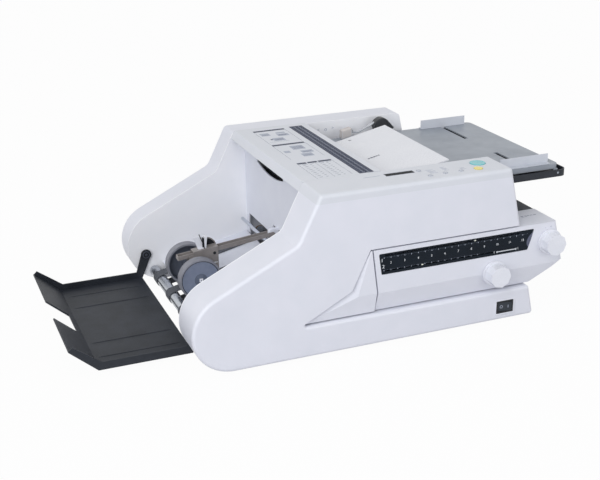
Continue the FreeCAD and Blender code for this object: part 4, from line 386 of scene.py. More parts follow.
def two_tone(name, outer_at, inner, outer, rough_inner, rough_outer):
    """A finish of two colours on one piece, each with a cloud 12 mm across, and a relief 1 mm wide. From a
    place on the object, outer_at gives one where the outer colour is, nothing where the inner one is."""
    material, place = new_finish(name)
    factor = outer_at(material, place)
    cloud = grain(material, place, 12.0)
    tones = {"Factor": factor, FIRST_COLOUR: between(material, cloud, inner[1], inner[0]),
             SECOND_COLOUR: between(material, cloud, outer[1], outer[0])}
    mix = add(material, "Mix", tones, data_type="RGBA")
    rough = add(material, "MapRange", {"Value": factor, "To Min": rough_inner, "To Max": rough_outer})
    bump = add(material, "Bump", {"Height": grain(material, place, 1.0, seed=3.0), "Distance": 0.02 * MM})
    return shaded(material, {"Base Color": mix.outputs[MIXED_COLOUR], "Roughness": rough.outputs["Result"],
                             "Normal": bump.outputs["Normal"]})


# Radius at which a press wheel's tread starts.
RIM_STARTS = 35.0


def wheel_finish(part, disc=("#7b8499", "#717a8f")):
    """Press wheel: grey polyurethane tread on a blue-grey moulded disc, the tread a little lighter."""
    tread = ("#868892", "#797b85")

    def on_tread(material, place):
        """One beyond the rim's radius from the axle."""
        from_axle = across(material, place, middle(part), "Y")
        return add(material, "Math", {0: from_axle, 1: RIM_STARTS}, operation="GREATER_THAN").outputs["Value"]
    return two_tone("polyurethane_wheel_" + part, on_tread, disc, tread, 0.42, 0.55)


def rear_wheel_finish(part):
    """The rear wheel is seen from its ribbed inner side; its disc is painted a darker grey than the front
    wheel's, painted shade for that hollow side.
    """
    return wheel_finish(part, ("#565c69", "#4b515e"))


# Where a roller's rubber starts and ends, along its axis.
RUBBER_STARTS, RUBBER_ENDS = -146.0, 190.0


def roller_finish(part):
    """Roller: ground rubber between bare steel ends."""
    def covered(material, place):
        """One between the two ends of the rubber."""
        along = add(material, "SeparateXYZ", {0: place}).outputs["Y"]
        after = add(material, "Math", {0: along, 1: RUBBER_STARTS}, operation="GREATER_THAN").outputs["Value"]
        before = add(material, "Math", {0: along, 1: RUBBER_ENDS}, operation="LESS_THAN").outputs["Value"]
        return add(material, "Math", {0: after, 1: before}, operation="MULTIPLY").outputs["Value"]
    steel, rubber = ("#c0c4ca", "#a8adb5"), ("#43464c", "#37393f")
    return two_tone("ground_rubber_" + part, covered, steel, rubber, 0.3, 0.7)


# The middle of the feed lever's hub, seen from the front, and how far the hub reaches from it.
HUB_ACROSS, HUB_HEIGHT, HUB_REACH = 239.0, 270.0, 16.4


def lever_finish():
    """Feed lever: black nylon hub and tail, and a bright plated rod up to where the grip starts."""
    def on_rod(material, place):
        """One outside the hub's reach and to the left of its middle."""
        from_hub = across(material, place, (HUB_ACROSS, 0, HUB_HEIGHT), "Y")
        outside = add(material, "Math", {0: from_hub, 1: HUB_REACH}, operation="GREATER_THAN")
        right = add(material, "SeparateXYZ", {0: place}).outputs["X"]
        to_left = add(material, "Math", {0: right, 1: HUB_ACROSS - 8}, operation="LESS_THAN")
        both = {0: outside.outputs["Value"], 1: to_left.outputs["Value"]}
        return add(material, "Math", both, operation="MULTIPLY").outputs["Value"]
    nylon, plated = ("#23262b", "#1b1e22"), ("#c9ccd2", "#b2b6bd")
    return two_tone("filled_nylon_and_plated_rod", on_rod, nylon, plated, 0.4, 0.3)


def stop_finish(part):
    """Fold stop: zinc-plated bar whose pointer, in front of the scale, is white ABS."""
    def on_pointer(material, place):
        """One in front of the scale."""
        depth = add(material, "SeparateXYZ", {0: place}).outputs["Y"]
        scale_front = low("scale_plate")[1] + 1
        return add(material, "Math", {0: depth, 1: scale_front}, operation="LESS_THAN").outputs["Value"]
    zinc, white = ("#c3c8d0", "#aab2be"), ("#eef0e4", "#e4e7da")
    return two_tone("zinc_bar_white_pointer_" + part, on_pointer, zinc, white, 0.3, 0.5)


def belt_finish():
    """Conveyor belt: woven polyester faced with rubber, its threads 0.5 mm apart drawn at 1.5 mm to show."""
    material, place = new_finish("woven_belt_rubber")
    pitch = {"Vector": place, "Scale": 0.21, "Distortion": 0.4}
    threads = add(material, "TexWave", pitch, bands_direction="Y").outputs["Fac"]
    cross = add(material, "TexWave", pitch, bands_direction="X").outputs["Fac"]
    weave = add(material, "Math", {0: threads, 1: cross}, operation="MULTIPLY").outputs["Value"]
    bump = add(material, "Bump", {"Height": weave, "Distance": 0.15 * MM})
    return shaded(material, {"Base Color": between(material, weave, "#4a4d54", "#62666e"), "Roughness": 0.75,
                             "Normal": bump.outputs["Normal"]})


def board_finish():
    """Circuit board: green solder mask, with copper tracks about 1 mm wide that show in a lighter green."""
    material, place = new_finish("solder_mask_green")
    tracks = add(material, "TexBrick", {
        "Vector": place, "Scale": 0.1, "Mortar Size": 0.06, "Brick Width": 1.7, "Row Height": 0.32,
        "Color1": colour("#1d5a3e"), "Color2": colour("#226545"), "Mortar": colour("#3f8d62")})
    return shaded(material, {"Base Color": tracks.outputs["Color"], "Roughness": 0.3})


FINISHES = {
    COVER_ABS: ["front_cover", "rear_cover", "front_trim", "unit_housing"],
    DECK_ABS: ["control_deck", "top_cover"],
    # The bay's inner panels take the whiter copy of the covers' ABS: painted light.
    CHEEK_ABS_PAINTED_LIGHT: ["front_inner_panel", "rear_inner_panel"],
    POWDER_COAT: ["delivery_wall", "conveyor_bed", "base_pan", "front_frame", "rear_frame"],
    KNOB_ABS: ["knob_1", "knob_2", "arm_clamp"],
    TRAY_ABS: ["exit_tray", "feed_table"],
    FLAP_PC: ["feed_flap"],
    LIFT_ABS: ["lift_plate"],
    GUIDE_ABS: ["front_guide", "rear_guide"],
    ARM_ENAMEL: ["delivery_arm", "wheel_carriage"],
    PLATE_COAT: ["fold_plate_1", "fold_plate_2"],
    INLET_NYLON: ["power_inlet", "switch_bezel"],
    ROCKER_NYLON: ["power_rocker"],
    FOOT_RUBBER: ["feet", "separator_pad"],
    BRONZE: ["roller_bearings"],
    GROUND_STEEL: ["tie_bars", "wheel_axle", "conveyor_drive_roller", "conveyor_end_roller"],
    ZINC: ["unit_side_plates"],
    SCALE_FILM: ["scale_plate"],
    RULER_FILM: ["ruler_strip"],
    TEAL_ACRYLIC: ["start_button"],
    YELLOW_ACRYLIC: ["stop_button"],
    GREY_ACRYLIC: ["key_1", "key_2", "key_3", "key_4"],
    WINDOW_ACRYLIC: ["display_window"],
    MOTOR_PAINT: ["motor"],
    PINION_STEEL: ["motor_pinion"],
}
MADE_FOR_ONE = {
    "front_wheel": wheel_finish("front_wheel"),
    "rear_wheel": rear_wheel_finish("rear_wheel"),
    "conveyor_belts": belt_finish(),
    "circuit_board": board_finish(),
    "feed_lever": lever_finish(),
}
for part in ("fold_roller_1", "fold_roller_2", "fold_roller_3", "fold_roller_4", "feed_roller"):
    MADE_FOR_ONE[part] = roller_finish(part)
for part in ("stop_1", "stop_2"):
    MADE_FOR_ONE[part] = stop_finish(part)

finish_of = {part: finish for finish, parts in FINISHES.items() for part in parts}
for part, finish in (finish_of | MADE_FOR_ONE).items():
    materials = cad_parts[part].data.materials
    materials.clear()
    materials.append(finish)


# ---------------------------------------------------------------- print on the fold scale

INCH = 25.4
SCALE_FACE = upright(low("scale_plate")[1])
FIRST_FIGURE, LAST_FIGURE = 2, 12
FIRST_ACROSS = 66.0
# Each row of ticks: the height of its upper edge, and how far to the right it goes.
TICK_ROWS = ((163.6, 331.0), (141.6, 236.0))
# Ticks: their length and width.
HALF_INCH_TICK, EIGHTH_TICK = (2.2, 1.0), (0.9, 0.5)
# The inch figures' size and the height of their middle, and the number of each row, as lettering takes it.
FIGURE_SIZE, FIGURE_HEIGHT = 4.2, 152.8
ROW_NUMBERS = [("1", 6.6, 49.6, 158.5), ("2", 6.6, 52.2, 147.3)]
# The bar under the second row: its two ends and its height.
BAR_ENDS, BAR_HEIGHT = (270.0, 307.0), 138.7


def scale_print():
    """Rows of ticks every eighth of an inch, stronger each half inch, with the inch figures between them."""
    eighths = FIRST_ACROSS + np.arange(-4, 8 * (LAST_FIGURE - FIRST_FIGURE) + 4) * INCH / 8
    halves, others = [], []
    for height, last in TICK_ROWS:
        row = eighths[eighths < last]
        at_half = np.arange(len(row)) % 4 == 0
        for kept, at, tick in ((halves, row[at_half], HALF_INCH_TICK), (others, row[~at_half], EIGHTH_TICK)):
            length, wide = tick
            top = 0 * at + height
            kept.append(np.c_[at - wide / 2, top - length, at + wide / 2, top])
    halves, others = plates(np.vstack(halves), SCALE_FACE, INK), plates(np.vstack(others), SCALE_FACE, INK)
    piece("scale_half_inches", halves, PALE_INK, "fold_unit")
    piece("scale_eighths", others, GREY_INK, "fold_unit")
    figures = [(str(number), FIGURE_SIZE, FIRST_ACROSS + (number - FIRST_FIGURE) * INCH, FIGURE_HEIGHT)
               for number in range(FIRST_FIGURE, LAST_FIGURE + 1)]
    words = lettering(figures + ROW_NUMBERS, SCALE_FACE)
    dressed_mesh("scale_figures", words, WHITE_INK, "fold_unit")
    bar = plates([(BAR_ENDS[0], BAR_HEIGHT - 0.7, BAR_ENDS[1], BAR_HEIGHT + 0.7)], SCALE_FACE, INK)
    dot = turned([(0, INK), (1.7, INK), (1.7, 0), (0, 0)], 20)
    dots = [on_face(dot, SCALE_FACE, end, BAR_HEIGHT) for end in BAR_ENDS]
    piece("scale_bar", joined([bar] + dots), WHITE_INK, "fold_unit")
    ends = [("S", 3.8, BAR_ENDS[0] - 6, BAR_HEIGHT), ("L", 3.8, BAR_ENDS[1] + 5, BAR_HEIGHT + 0.5)]
    dressed_mesh("scale_bar_words", lettering(ends, SCALE_FACE), WHITE_INK, "fold_unit")


scale_print()


def window_end():
    """The moulded end inside the scale's window, as a closed shell. Its front lies between an arc that bulges
    to the left and the slanted edge, and is rounded forwards over its width; its back is the same grid, laid
    flat on the film."""
    foot, height, edge_at_foot, edge_lean, bulge, relief = 137.0, 29.6, 334.5, 10.0, 9.5, 0.7
    up = np.linspace(0, 1, 25)[:, None]
    width = np.linspace(0, 1, 9)[None, :]
    edge = edge_at_foot + up * edge_lean
    left = edge - bulge * np.sin(math.pi * up) ** 0.7 - 0.5
    right = left + (edge - left) * width
    out = 0.15 + relief * np.sin(math.pi / 2 * width) * np.sin(math.pi * up) ** 0.5
    front = SCALE_FACE.at(np.stack(np.broadcast_arrays(right, foot + up * height, out), -1))
    back = front.copy()
    back[..., 1] = SCALE_FACE.corner[1] - 0.05
    points = np.stack([front, back])
    rim = np.concatenate([points[:, 0], points[:, 1:, -1], points[:, -1, -2::-1], points[:, -2:0:-1, 0]], 1)
    # The end takes a lighter grey than the film: painted light on its curve.
    piece("scale_window_end", joined([skin(front), skin(back[::-1]), skin(rim, wrap_columns=True)]),
          WINDOW_END_PAINTED_LIGHT, "fold_unit")


window_end()


# ---------------------------------------------------------------- print on the top cover, deck and casing

COVER_FACE = top_of("top_cover")
RULER_FACE = top_of("ruler_strip")
DECK_FACE = top_of("control_deck")
UNIT_TOP = top_of("unit_housing")
FRONT_FACE = upright(low("unit_housing")[1])
REAR_WALL = upright(high("base_pan")[1])


def ruler_print():
    """Two rows of ticks across the strip, every 5 mm and longer every 10, between two thin border lines."""
    left, right = low("ruler_strip")[0], high("ruler_strip")[0]
    start, end = low("ruler_strip")[1] + 3, high("ruler_strip")[1] - 3
    along = np.arange(start, end, 5.0)
    longer = np.where(np.arange(len(along)) % 2 == 0, 4.4, 2.8)
    rows = [np.c_[0 * along + line - longer / 2, along, 0 * along + line + longer / 2, along + 1.2]
            for line in (left + 8.5, left + 17.5)]
    borders = [(left + 2.6, start, left + 3.1, end), (right - 3.1, start, right - 2.6, end)]
    piece("ruler_ticks", plates(np.vstack(rows), RULER_FACE, INK), PALE_INK, "top_cover")
    piece("ruler_borders", plates(borders, RULER_FACE, INK), GREY_INK, "top_cover")


def instruction_panel():
    """Three generic blocks of instructions: dark header bars, hairlines, plain boxes and rows of short
    dashes, each given by its left, low, right and high on the cover's top, in millimetres."""
    headers = [(-30.5, 163, 32, 171), (-30.5, 61, 32, 69), (-30.5, -61, -14, -53.5), (-11.5, -61, 6, -53.5),
               (8.5, -61, 32.5, -53.5)]
    piece("instruction_headers", plates(headers, COVER_FACE, INK), DARK_INK, "top_cover")
    lines = [(-30.8, 74, -30.4, 164), (32, 74, 32.4, 164), (-30.8, -28, -30.4, 62), (32.4, -28, 32.8, 62),
             (-30.8, -150, -30.4, -60), (0.5, -148, 0.9, -60), (33, -146, 33.4, -60), (-26, 88, 12, 88.4)]
    up = np.arange(-70, -146, -9.0)
    for left, wide in ((-24, 5.5), (-12, 4.0), (8, 6.0), (19, 3.5)):
        lines += np.c_[0 * up + left, up, 0 * up + left + wide, up + 1.1].tolist()
    lines += [(-24, -64.8, -14, -64), (-6, -64.8, -2, -64), (6, -64.8, 16, -64), (20, -64.8, 30, -64)]
    piece("instruction_lines", plates(lines, COVER_FACE, INK), GREY_INK, "top_cover")
    boxes = [(-25, 132, -8, 150), (6, 140, 24, 148), (4, 122, 26, 136), (-14, 93, 8, 112), (-25, 12, -14, 24),
             (-4, 26, 20, 50), (-2, -20, 18, -2), (4, 2, 26, 16)]
    piece("instruction_boxes", plates(boxes, COVER_FACE, INK), PALE_INK, "top_cover")
    inner = [(-23, 140, -10, 140.7), (-23, 136, -10, 136.7), (7, 127, 22, 128), (7, 131, 22, 132),
             (-11, 98, 5, 99), (-11, 103, 5, 104), (-1, 33, 17, 34), (-1, 40, 17, 41), (0, -14, 15, -13),
             (7, 7, 22, 8), (-18.5, 102, -14.5, 107)]
    piece("instruction_marks", plates(inner, COVER_FACE, INK * 1.6), DARK_INK, "top_cover")


def deck_print():
    """Beside the display a thin label line, and beside the keys columns of short grey dashes."""
    rows = [(39.5, -175.8, 70, -174.4)]
    for left, wide, top, lowest in ((152, 14, -180.5, -200), (181, 9, -176, -197), (210, 10, -192, -200)):
        up = np.arange(top, lowest, -3.6)
        shorter = np.where(np.arange(len(up)) % 3 == 1, 0.6, 1.0) * wide
        rows += np.c_[0 * up + left, up, left + shorter, up + 1.0].tolist()
    piece("deck_labels", plates(rows, DECK_FACE, INK), PALE_INK, "chassis")
    left, front = low("display_window")[:2]
    right, back = high("display_window")[:2]
    edges = [(left - 1, front - 1, right + 1, front - 0.2), (left - 1, back + 0.2, right + 1, back + 1)]
    piece("display_edge", plates(edges, DECK_FACE, INK), GREY_INK, "chassis")


def small_marks():
    """Generic marks: three beside the feed lever, minus and plus over the upper knob, dashes on the unit."""
    signs = [("<", 7.0, 115.5, 267.5), ("o", 8.5, 131.0, 267.5), (">", 7.0, 146.0, 268.5)]
    dressed_mesh("feed_marks", lettering(signs, REAR_WALL), PALE_INK, "chassis")
    signs = [("-", 6.5, 364.5, 170.0), ("+", 5.0, 376.0, 170.0)]
    dressed_mesh("knob_marks", lettering(signs, FRONT_FACE), PALE_INK, "fold_unit")
    dashes = [(left, -188, left + wide, -186.4)
              for left, wide in ((341, 5), (349, 3), (353.5, 5), (360, 5.5), (367, 6))]
    dashes += [(left, -191.5, left + wide, -190.4) for left, wide in ((341, 5), (349, 3))]
    piece("unit_top_marks", plates(dashes, UNIT_TOP, INK), GREY_INK, "fold_unit")


ruler_print()
instruction_panel()
deck_print()
small_marks()


# ---------------------------------------------------------------- power switch

# The rocker as it rests: its tilt, its pivot behind the front face, half its length, and how far its ends and
# its middle stand in front of the pivot.
ROCKER_TILT = math.radians(-8)
ROCKER_PIVOT_DEPTH, ROCKER_HALF, ROCKER_END, ROCKER_MIDDLE = 1.5, 12.9, 3.0, 2.25


def rocker_marks():
    """O and I, one on each of the rocker's two slanted faces, which meet in its middle."""
    centre_across, _, centre_height = middle("switch_bezel")
    pivot = np.array([centre_across, FRONT_FACE.corner[1] + ROCKER_PIVOT_DEPTH, 0])
    turn = np.array([[math.cos(ROCKER_TILT), math.sin(ROCKER_TILT), 0],
                     [-math.sin(ROCKER_TILT), math.cos(ROCKER_TILT), 0], [0, 0, 1]])
    left, centre, right = np.array([(-ROCKER_HALF, -ROCKER_END, 0), (0, -ROCKER_MIDDLE, 0),
                                    (ROCKER_HALF, -ROCKER_END, 0)]) @ turn + pivot
    for number, (text, start, end) in enumerate((("O", left, centre), ("I", centre, right)), 1):
        half = Face(start, end - start, (0, 0, 1))
        mark = lettering([(text, 6.0, ROCKER_HALF / 2, centre_height)], half, 0.16)
        dressed_mesh("rocker_mark_%d" % number, mark, PALE_INK, "power_rocker")


def ring_round(inside, outside, profile):
    """A frame round a rectangle on a face: the profile's steps run from the inner rectangle (0) to the outer
    one (1) while rising outwards, and go once round its four corners."""
    step, rise = np.asarray(profile, float).T[:, :, None]
    corner = np.array([[0, 1], [2, 1], [2, 3], [0, 3]])
    near, far = np.array(inside)[corner][None], np.array(outside)[corner][None]
    flat = near + (far - near) * step[..., None]
    return skin(np.concatenate([flat, np.broadcast_to(rise[..., None], flat.shape[:2] + (1,))], -1),
                wrap_rows=True, wrap_columns=True)


def switch_surround():
    """A bevelled frame moulded round the switch."""
    play = 0.3
    (left, _, foot), (right, _, top) = low("switch_bezel") - play, high("switch_bezel") + play
    inside = (left, foot, right, top)
    outside = (inside[0] - 2.5, inside[1] - 5.0, inside[2] + 5.5, inside[3] + 2.0)
    points, faces = ring_round(inside, outside, [(0, 0.02), (0, 0.5), (0.2, 1.0), (0.6, 0.9), (1, 0.02)])
    piece("switch_surround", (FRONT_FACE.at(points), faces), COVER_ABS, "chassis")


rocker_marks()
switch_surround()


# ---------------------------------------------------------------- feed lever and feed flap

def rounded_block(lowest, highest, round_by, lean=0.0):
    """A block with round edges: rows run round a rectangle whose corners are quarter circles, columns go in
    steps through its depth, where a quarter circle pulls both ends in. Lean lifts its right end."""
    lowest, highest = np.asarray(lowest, float), np.asarray(highest, float)
    steps = 6
    angle = np.concatenate([np.linspace(start, start + 90, steps) for start in (0, 90, 180, 270)])
    turn_by = np.radians(angle)[:, None]
    way = np.repeat([[1, 1], [-1, 1], [-1, -1], [1, -1]], steps, axis=0)[:, None]
    half, centre = (highest - lowest) / 2, (highest + lowest) / 2
    into = np.radians(np.linspace(-90, 90, 2 * steps))[None, :]
    pull = round_by * (1 - np.cos(into))
    flat = half[[0, 2]] - round_by
    x = centre[0] + way[..., 0] * flat[0] + (round_by - pull) * np.cos(turn_by)
    z = centre[2] + way[..., 1] * flat[1] + (round_by - pull) * np.sin(turn_by)
    y = centre[1] + np.sign(into) * (half[1] - round_by) + round_by * np.sin(into)
    z = z + (x - centre[0]) * lean
    grid = np.stack([x, y + 0 * x, z], -1)
    ends = np.broadcast_to(grid[:, [0, -1]].mean(0), (len(grid), 2, 3))
    return skin(np.concatenate([ends[:, :1], grid, ends[:, 1:]], 1), wrap_rows=True)


# How thick the lever is, from front to back.
LEVER_THICK = 14.0


def lever_parts():
    """Grip, the collar where the rod enters it, and a ring and a screw on the hub."""
    front = low("feed_lever")[1]
    back = front + LEVER_THICK
    grip = rounded_block((152.6, front - 0.4, 254.2), (173.6, back + 0.4, 271.4), 2.2, lean=0.21)
    piece("lever_grip", grip, GRIP_RUBBER, "feed_lever")
    along = np.array([[173.0, 0, 265.0], [175.8, 0, 264.6]])
    collar = tube(along + [0, (front + back) / 2, 0], 5.2, 20)
    piece("lever_collar", collar, COLLAR_NYLON, "feed_lever")
    hub_face = Face((HUB_ACROSS, front, HUB_HEIGHT), (1, 0, 0), (0, 0, 1))
    ring = turned([(12.2, 0.01), (12.6, 0.5), (14.6, 0.5), (15.6, 0.01)], 64)
    piece("lever_hub_ring", on_face(ring, hub_face), BLACK_OXIDE, "feed_lever")
    head = turned([(0, 0.9), (1.3, 0.9), (1.6, 1.8), (3.2, 1.5), (3.6, 0.01), (0, 0.01)], 32)
    piece("lever_hub_screw", on_face(head, hub_face), BLACK_OXIDE, "feed_lever")


# The flap's upper face starts here, across and up, and rises so much over its length.
FLAP_ACROSS, FLAP_HEIGHT, FLAP_LENGTH, FLAP_RISE = 93, 262, 124, 26.5
FLAP_FACE = Face((FLAP_ACROSS, 0, FLAP_HEIGHT), (FLAP_LENGTH, 0, FLAP_RISE), (0, 1, 0))


def flap_print():
    """A few short dashes on the feed flap, where a lot number is stamped, and a notch mark near its edge."""
    dashes = [(left, -25, left + wide, -20.8)
              for left, wide in ((28, 3.2), (33, 4.2), (38.5, 4.0), (44, 3.0), (48.5, 2.5))]
    notch = [(41.5, 89, 46.5, 90.6), (41.5, 92, 45.0, 93.4)]
    piece("flap_marks", plates(dashes + notch, FLAP_FACE, INK), DARK_INK, "feed_flap")


lever_parts()
flap_print()


# ---------------------------------------------------------------- delivery arm, press wheels, delivery slot

def wheel_parts(part, side):
    """On a wheel's outer face: a bead on the tread's edge, inside it a thin black ring that is painted shade
    for the step down to the disc, a low coned boss painted darker as shade round the hub, and the axle's square
    light end with a centre hole."""
    centre = middle(part)
    level = low(part)[1] if side < 0 else high(part)[1]
    face = Face((centre[0], level, centre[2]), (-side, 0, 0), (0, 0, 1))
    bead = turned([(34.7, 0.01), (34.9, 1.1), (36.9, 1.1), (37.7, 0.01)], 128)
    piece(part + "_bead", on_face(bead, face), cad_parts[part].data.materials[0], part)
    # Painted shade: a thin black ring where the step from tread to disc would shade the disc.
    line = turned([(33.5, 0.01), (33.7, 0.25), (34.6, 0.25), (34.7, 0.01)], 128)
    piece(part + "_painted_shade_step", on_face(line, face), INLET_NYLON, part)
    # Painted shade: the boss is a darker grey than the disc, for the shade round the hub.
    boss = turned([(0, 1.6), (4.2, 1.6), (4.6, 1.3), (10.4, 0.4), (11.6, 0.01), (0, 0.01)], 64)
    piece(part + "_boss", on_face(boss, face), BOSS_NYLON_PAINTED_SHADE, part)
    corner_up = Face(face.corner, (-side, 0, 1), (side, 0, 1))
    end = turned([(1.5, 1.5), (1.6, 2.5), (4.0, 2.5), (4.5, 2.1), (4.5, 1.5)], 4)
    piece(part + "_axle_end", on_face(end, corner_up), KNOB_ABS, part)


def arm_parts():
    """The carriage's mark and its screw heads, and the clamp's spring rod and dark leaf."""
    cheek = upright(low("wheel_carriage")[1])
    mark = plates([(-165.5, 100.2, -158.5, 101.8)], cheek, INK)
    piece("carriage_mark", mark, WHITE_INK, "carriage")
    screw = turned([(0, 0.5), (1.2, 0.5), (1.4, 1.2), (2.4, 1.0), (2.8, 0.01), (0, 0.01)], 24)
    heads = [on_face(screw, cheek, right, up) for right, up in ((-164, 119), (-195, 92))]
    piece("carriage_screws", joined(heads), BLACK_OXIDE, "carriage")
    front = low("arm_clamp")[1] - 1.2
    rod_path = np.array([[-181.4, front, 129.0], [-185.0, front, 142.0], [-190.4, front, 156.6]])
    piece("clamp_rod", tube(rod_path, 0.8, 12), BLACK_OXIDE, "carriage")
    middle_y = middle("arm_clamp")[1]
    leaf = rounded_block((-183.9, middle_y - 3.0, 124.5), (-180.7, middle_y + 3.0, 147.5), 0.5)
    piece("clamp_leaf", leaf, INLET_NYLON, "carriage")
    carriage_cover(middle_y + 9.0)


def carriage_cover(rear):
    """Behind the clamp: a pressed cover whose outline is a quarter of an ellipse. A band of four corners
    follows the outline, and a thin dark plate fills it, each of its sides a fan from the ellipse's centre."""
    left, foot, width, rise = -176.0, 125.0, 21.0, 19.5
    turn_by = np.linspace(0, math.pi / 2, 17)[:, None]

    def quarter(less, half_thick):
        """The outline drawn in by less, on the front and on the back of its thickness."""
        x = left + (width - less) * np.sin(turn_by)
        z = foot + (rise - less) * np.cos(turn_by)
        y = rear + np.array([[-half_thick, half_thick]])
        return np.stack(np.broadcast_arrays(x, y, z), -1)
    loop = np.concatenate([quarter(0.0, 0.8), quarter(2.0, 0.8)[:, ::-1]], 1)
    first, last = (np.repeat(loop[[place]].mean(1, keepdims=True), 4, axis=1) for place in (0, -1))
    edge = skin(np.concatenate([first, loop, last]), wrap_columns=True)
    piece("carriage_cover_edge", edge, ARM_ENAMEL, "carriage")
    plate = quarter(1.6, 0.3)
    centre = plate[:1] * (0, 1, 0) + (left, 0, foot)
    rim = skin(np.concatenate([plate, centre]), wrap_rows=True)
    fans = [skin(np.stack(np.broadcast_arrays(plate[:, side], centre[:, side]), 1)) for side in (0, 1)]
    piece("carriage_cover_plate", joined([rim] + fans), INLET_NYLON, "carriage")


def guide_bar():
    """Chromed guide over the belts, across the top of the delivery slot: a flat bar with round edges. Its
    section is an ellipse, squared off by raising the sine of its height to a power under one."""
    start, end = -138.0, 176.0
    centre_across, centre_height = low("delivery_wall")[0] + 3.2, 114.6
    half_width, half_height, squareness = 2.8, 2.9, 0.35
    angle = np.radians(np.linspace(0, 360, 32, endpoint=False))[None, :]
    along = np.array([start, start, end, end])[:, None]
    size_at = np.array([0.0, 1.0, 1.0, 0.0])[:, None]
    x = centre_across + size_at * half_width * np.cos(angle)
    z = centre_height + size_at * half_height * np.sign(np.sin(angle)) * np.abs(np.sin(angle)) ** squareness
    bar = skin(np.stack([x, along + 0 * x, z], -1), wrap_columns=True)
    piece("slot_guide_bar", bar, CHROME, "chassis")


wheel_parts("front_wheel", -1)
wheel_parts("rear_wheel", 1)
arm_parts()
guide_bar()


# ---------------------------------------------------------------- exit tray and lift plate

def tray_ribs():
    """Low round ribs along the tray's floor: half an ellipse, which fades to nothing at both ends."""
    start, length, half_width, rise = -408, 140, 1.6, 1.1
    floor = low("exit_tray")[2] + 3.0
    along = np.linspace(0, 1, 24)[:, None]
    round_by = np.linspace(0, math.pi, 9)[None, :]
    fade = np.clip(np.minimum(along, 1 - along) * 12, 0.02, 1) ** 0.5
    ribs = []
    for middle_y in (-110.0, -55.0, 98.0, 153.0):
        x = start + along * length
        y = middle_y + half_width * np.cos(round_by) * fade
        z = floor - 0.02 + rise * np.sin(round_by) * fade
        ribs.append(skin(np.stack(np.broadcast_arrays(x, y, z), -1), wrap_columns=True))
    piece("tray_ribs", joined(ribs), TRAY_ABS, "exit_tray")


def tray_hub_caps():
    """On the inner side of each tray hub: a black cap, and on it a paler ring round a button."""
    pivot_across, pivot_height, half_inside = -247, 63, 169.5
    cap = turned([(0, 0.4), (9.4, 0.4), (9.8, 0.01), (0, 0.01)], 48)
    ring = turned([(5.4, 0.4), (5.6, 1.2), (7.0, 1.2), (7.4, 0.4), (5.4, 0.4)], 48)
    button = turned([(0, 1.4), (1.6, 1.3), (2.3, 1.0), (2.5, 0.4), (0, 0.4)], 32)
    caps, rings = [], []
    for side in (-1, 1):
        place = (pivot_across, middle("exit_tray")[1] + side * half_inside, pivot_height)
        hub = Face(place, (side, 0, 0), (0, 0, 1))
        caps.append(on_face(cap, hub))
        rings += [on_face(ring, hub), on_face(button, hub)]
    piece("tray_hub_caps", joined(caps), INLET_NYLON, "exit_tray")
    piece("tray_hub_rings", joined(rings), GREY_NYLON, "exit_tray")


def lift_plate_marks():
    """Ticks beside the guides' slots, every 5 mm and longer every 10, for setting the paper's width."""
    left = 404.0
    along = np.arange(0, 90, 5.0)
    longer = np.where(np.arange(len(along)) % 2 == 0, 5.0, 3.0)
    inwards = (low("front_guide")[1] + 12 + along, high("rear_guide")[1] - 12 - along)
    rows = np.vstack([np.c_[0 * at + left, at, left + longer, at + 0.6] for at in inwards])
    ticks = plates(rows, top_of("lift_plate"), INK)
    piece("paper_width_marks", ticks, PALE_INK, "lift_plate")


tray_ribs()
tray_hub_caps()
lift_plate_marks()


# ---------------------------------------------------------------- camera, light and floor

# The eye: its distance from a picture 600 wide, in the same measure, its turns, and its place in metres.
PICTURE_WIDTH, PICTURE_DISTANCE = 600, 1083.9
YAW, PITCH, ROLL = math.radians(21.65), math.radians(21.06), math.radians(-0.803)
EYE = Vector((-0.6860, -1.7167, 0.8342))


def make_camera():
    """The eye stands in front of the left end, turned right by the yaw and down by the pitch."""
    data = bpy.data.cameras.new("camera")
    data.sensor_width = 36.0
    data.lens = PICTURE_DISTANCE * data.sensor_width / PICTURE_WIDTH
    data.clip_end = 50
    camera = bpy.data.objects.new("camera", data)
    aimed = Matrix.Rotation(-YAW, 4, "Z") @ Matrix.Rotation(math.pi / 2 - PITCH, 4, "X")
    camera.matrix_world = Matrix.Translation(EYE) @ aimed @ Matrix.Rotation(ROLL, 4, "Z")
    bpy.context.scene.collection.objects.link(camera)
    bpy.context.scene.camera = camera


def make_lamp(name, place, aim, width, watts):
    """A square soft box at a place, facing the point that it aims at."""
    data = bpy.data.lights.new(name, "AREA")
    data.size = width
    data.energy = watts
    lamp = bpy.data.objects.new(name, data)
    lamp.location = place
    lamp.rotation_euler = (Vector(aim) - Vector(place)).to_track_quat("-Z", "Y").to_euler()
    bpy.context.scene.collection.objects.link(lamp)


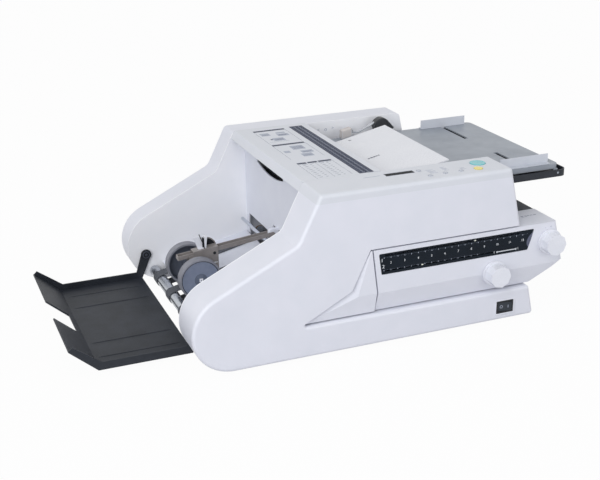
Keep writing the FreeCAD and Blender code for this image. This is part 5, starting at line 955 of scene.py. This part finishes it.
def seen_ray(material):
    """One for rays from the camera, from gloss and through glass, nothing for light that falls on things."""
    rays = add(material, "LightPath").outputs
    seen = {0: rays["Is Camera Ray"], 1: rays["Is Glossy Ray"]}
    first = add(material, "Math", seen, operation="MAXIMUM").outputs["Value"]
    seen = {0: first, 1: rays["Is Transmission Ray"]}
    return add(material, "Math", seen, operation="MAXIMUM").outputs["Value"]


def make_world(level):
    """A white surround to look at, and an even dim light from it on the object."""
    world = bpy.data.worlds.new("studio")
    world.use_nodes = True
    world.node_tree.nodes.clear()
    strength = add(world, "MapRange", {"Value": seen_ray(world), "To Min": level, "To Max": 1.0})
    back = add(world, "Background", {"Color": (1, 1, 1, 1), "Strength": strength.outputs["Result"]})
    add(world, "OutputWorld", {"Surface": back.outputs["Background"]})
    bpy.context.scene.world = world


def make_floor(lift):
    """A wide flat floor: light grey for the light that it returns, and lifted to white for the eye, so that
    only the object's shadow shows on it."""
    mesh = bpy.data.meshes.new("floor")
    half = 12.0
    corners = [(-half, -half, 0), (half, -half, 0), (half, half, 0), (-half, half, 0)]
    mesh.from_pydata(corners, [], [(0, 1, 2, 3)])
    floor = bpy.data.objects.new("floor", mesh)
    bpy.context.scene.collection.objects.link(floor)
    material = bpy.data.materials.new("studio_paper_white")
    material.use_nodes = True
    material.node_tree.nodes.clear()
    paper = add(material, "BsdfDiffuse", {"Color": colour("#c4c4c8")})
    glow = add(material, "Emission", {"Color": (1, 1, 1, 1), "Strength": 1.0})
    share = add(material, "Math", {0: seen_ray(material), 1: lift}, operation="MULTIPLY").outputs["Value"]
    mixed = add(material, "MixShader", {0: share, 1: paper.outputs["BSDF"], 2: glow.outputs["Emission"]})
    add(material, "OutputMaterial", {"Surface": mixed.outputs["Shader"]})
    mesh.materials.append(material)


make_camera()
make_world(0.63)
make_lamp("key_light", (-2.2, -2.0, 1.5), (0, 0, 0.15), 2.2, 47)
make_lamp("edge_light", (-0.6, -1.1, 1.9), (-0.05, -0.2, 0.2), 0.5, 4)
make_lamp("fill_light", (1.0, -2.4, 0.7), (0.1, 0, 0.2), 1.0, 8)
make_floor(0.97)

bpy.context.scene.view_settings.view_transform = "Standard"
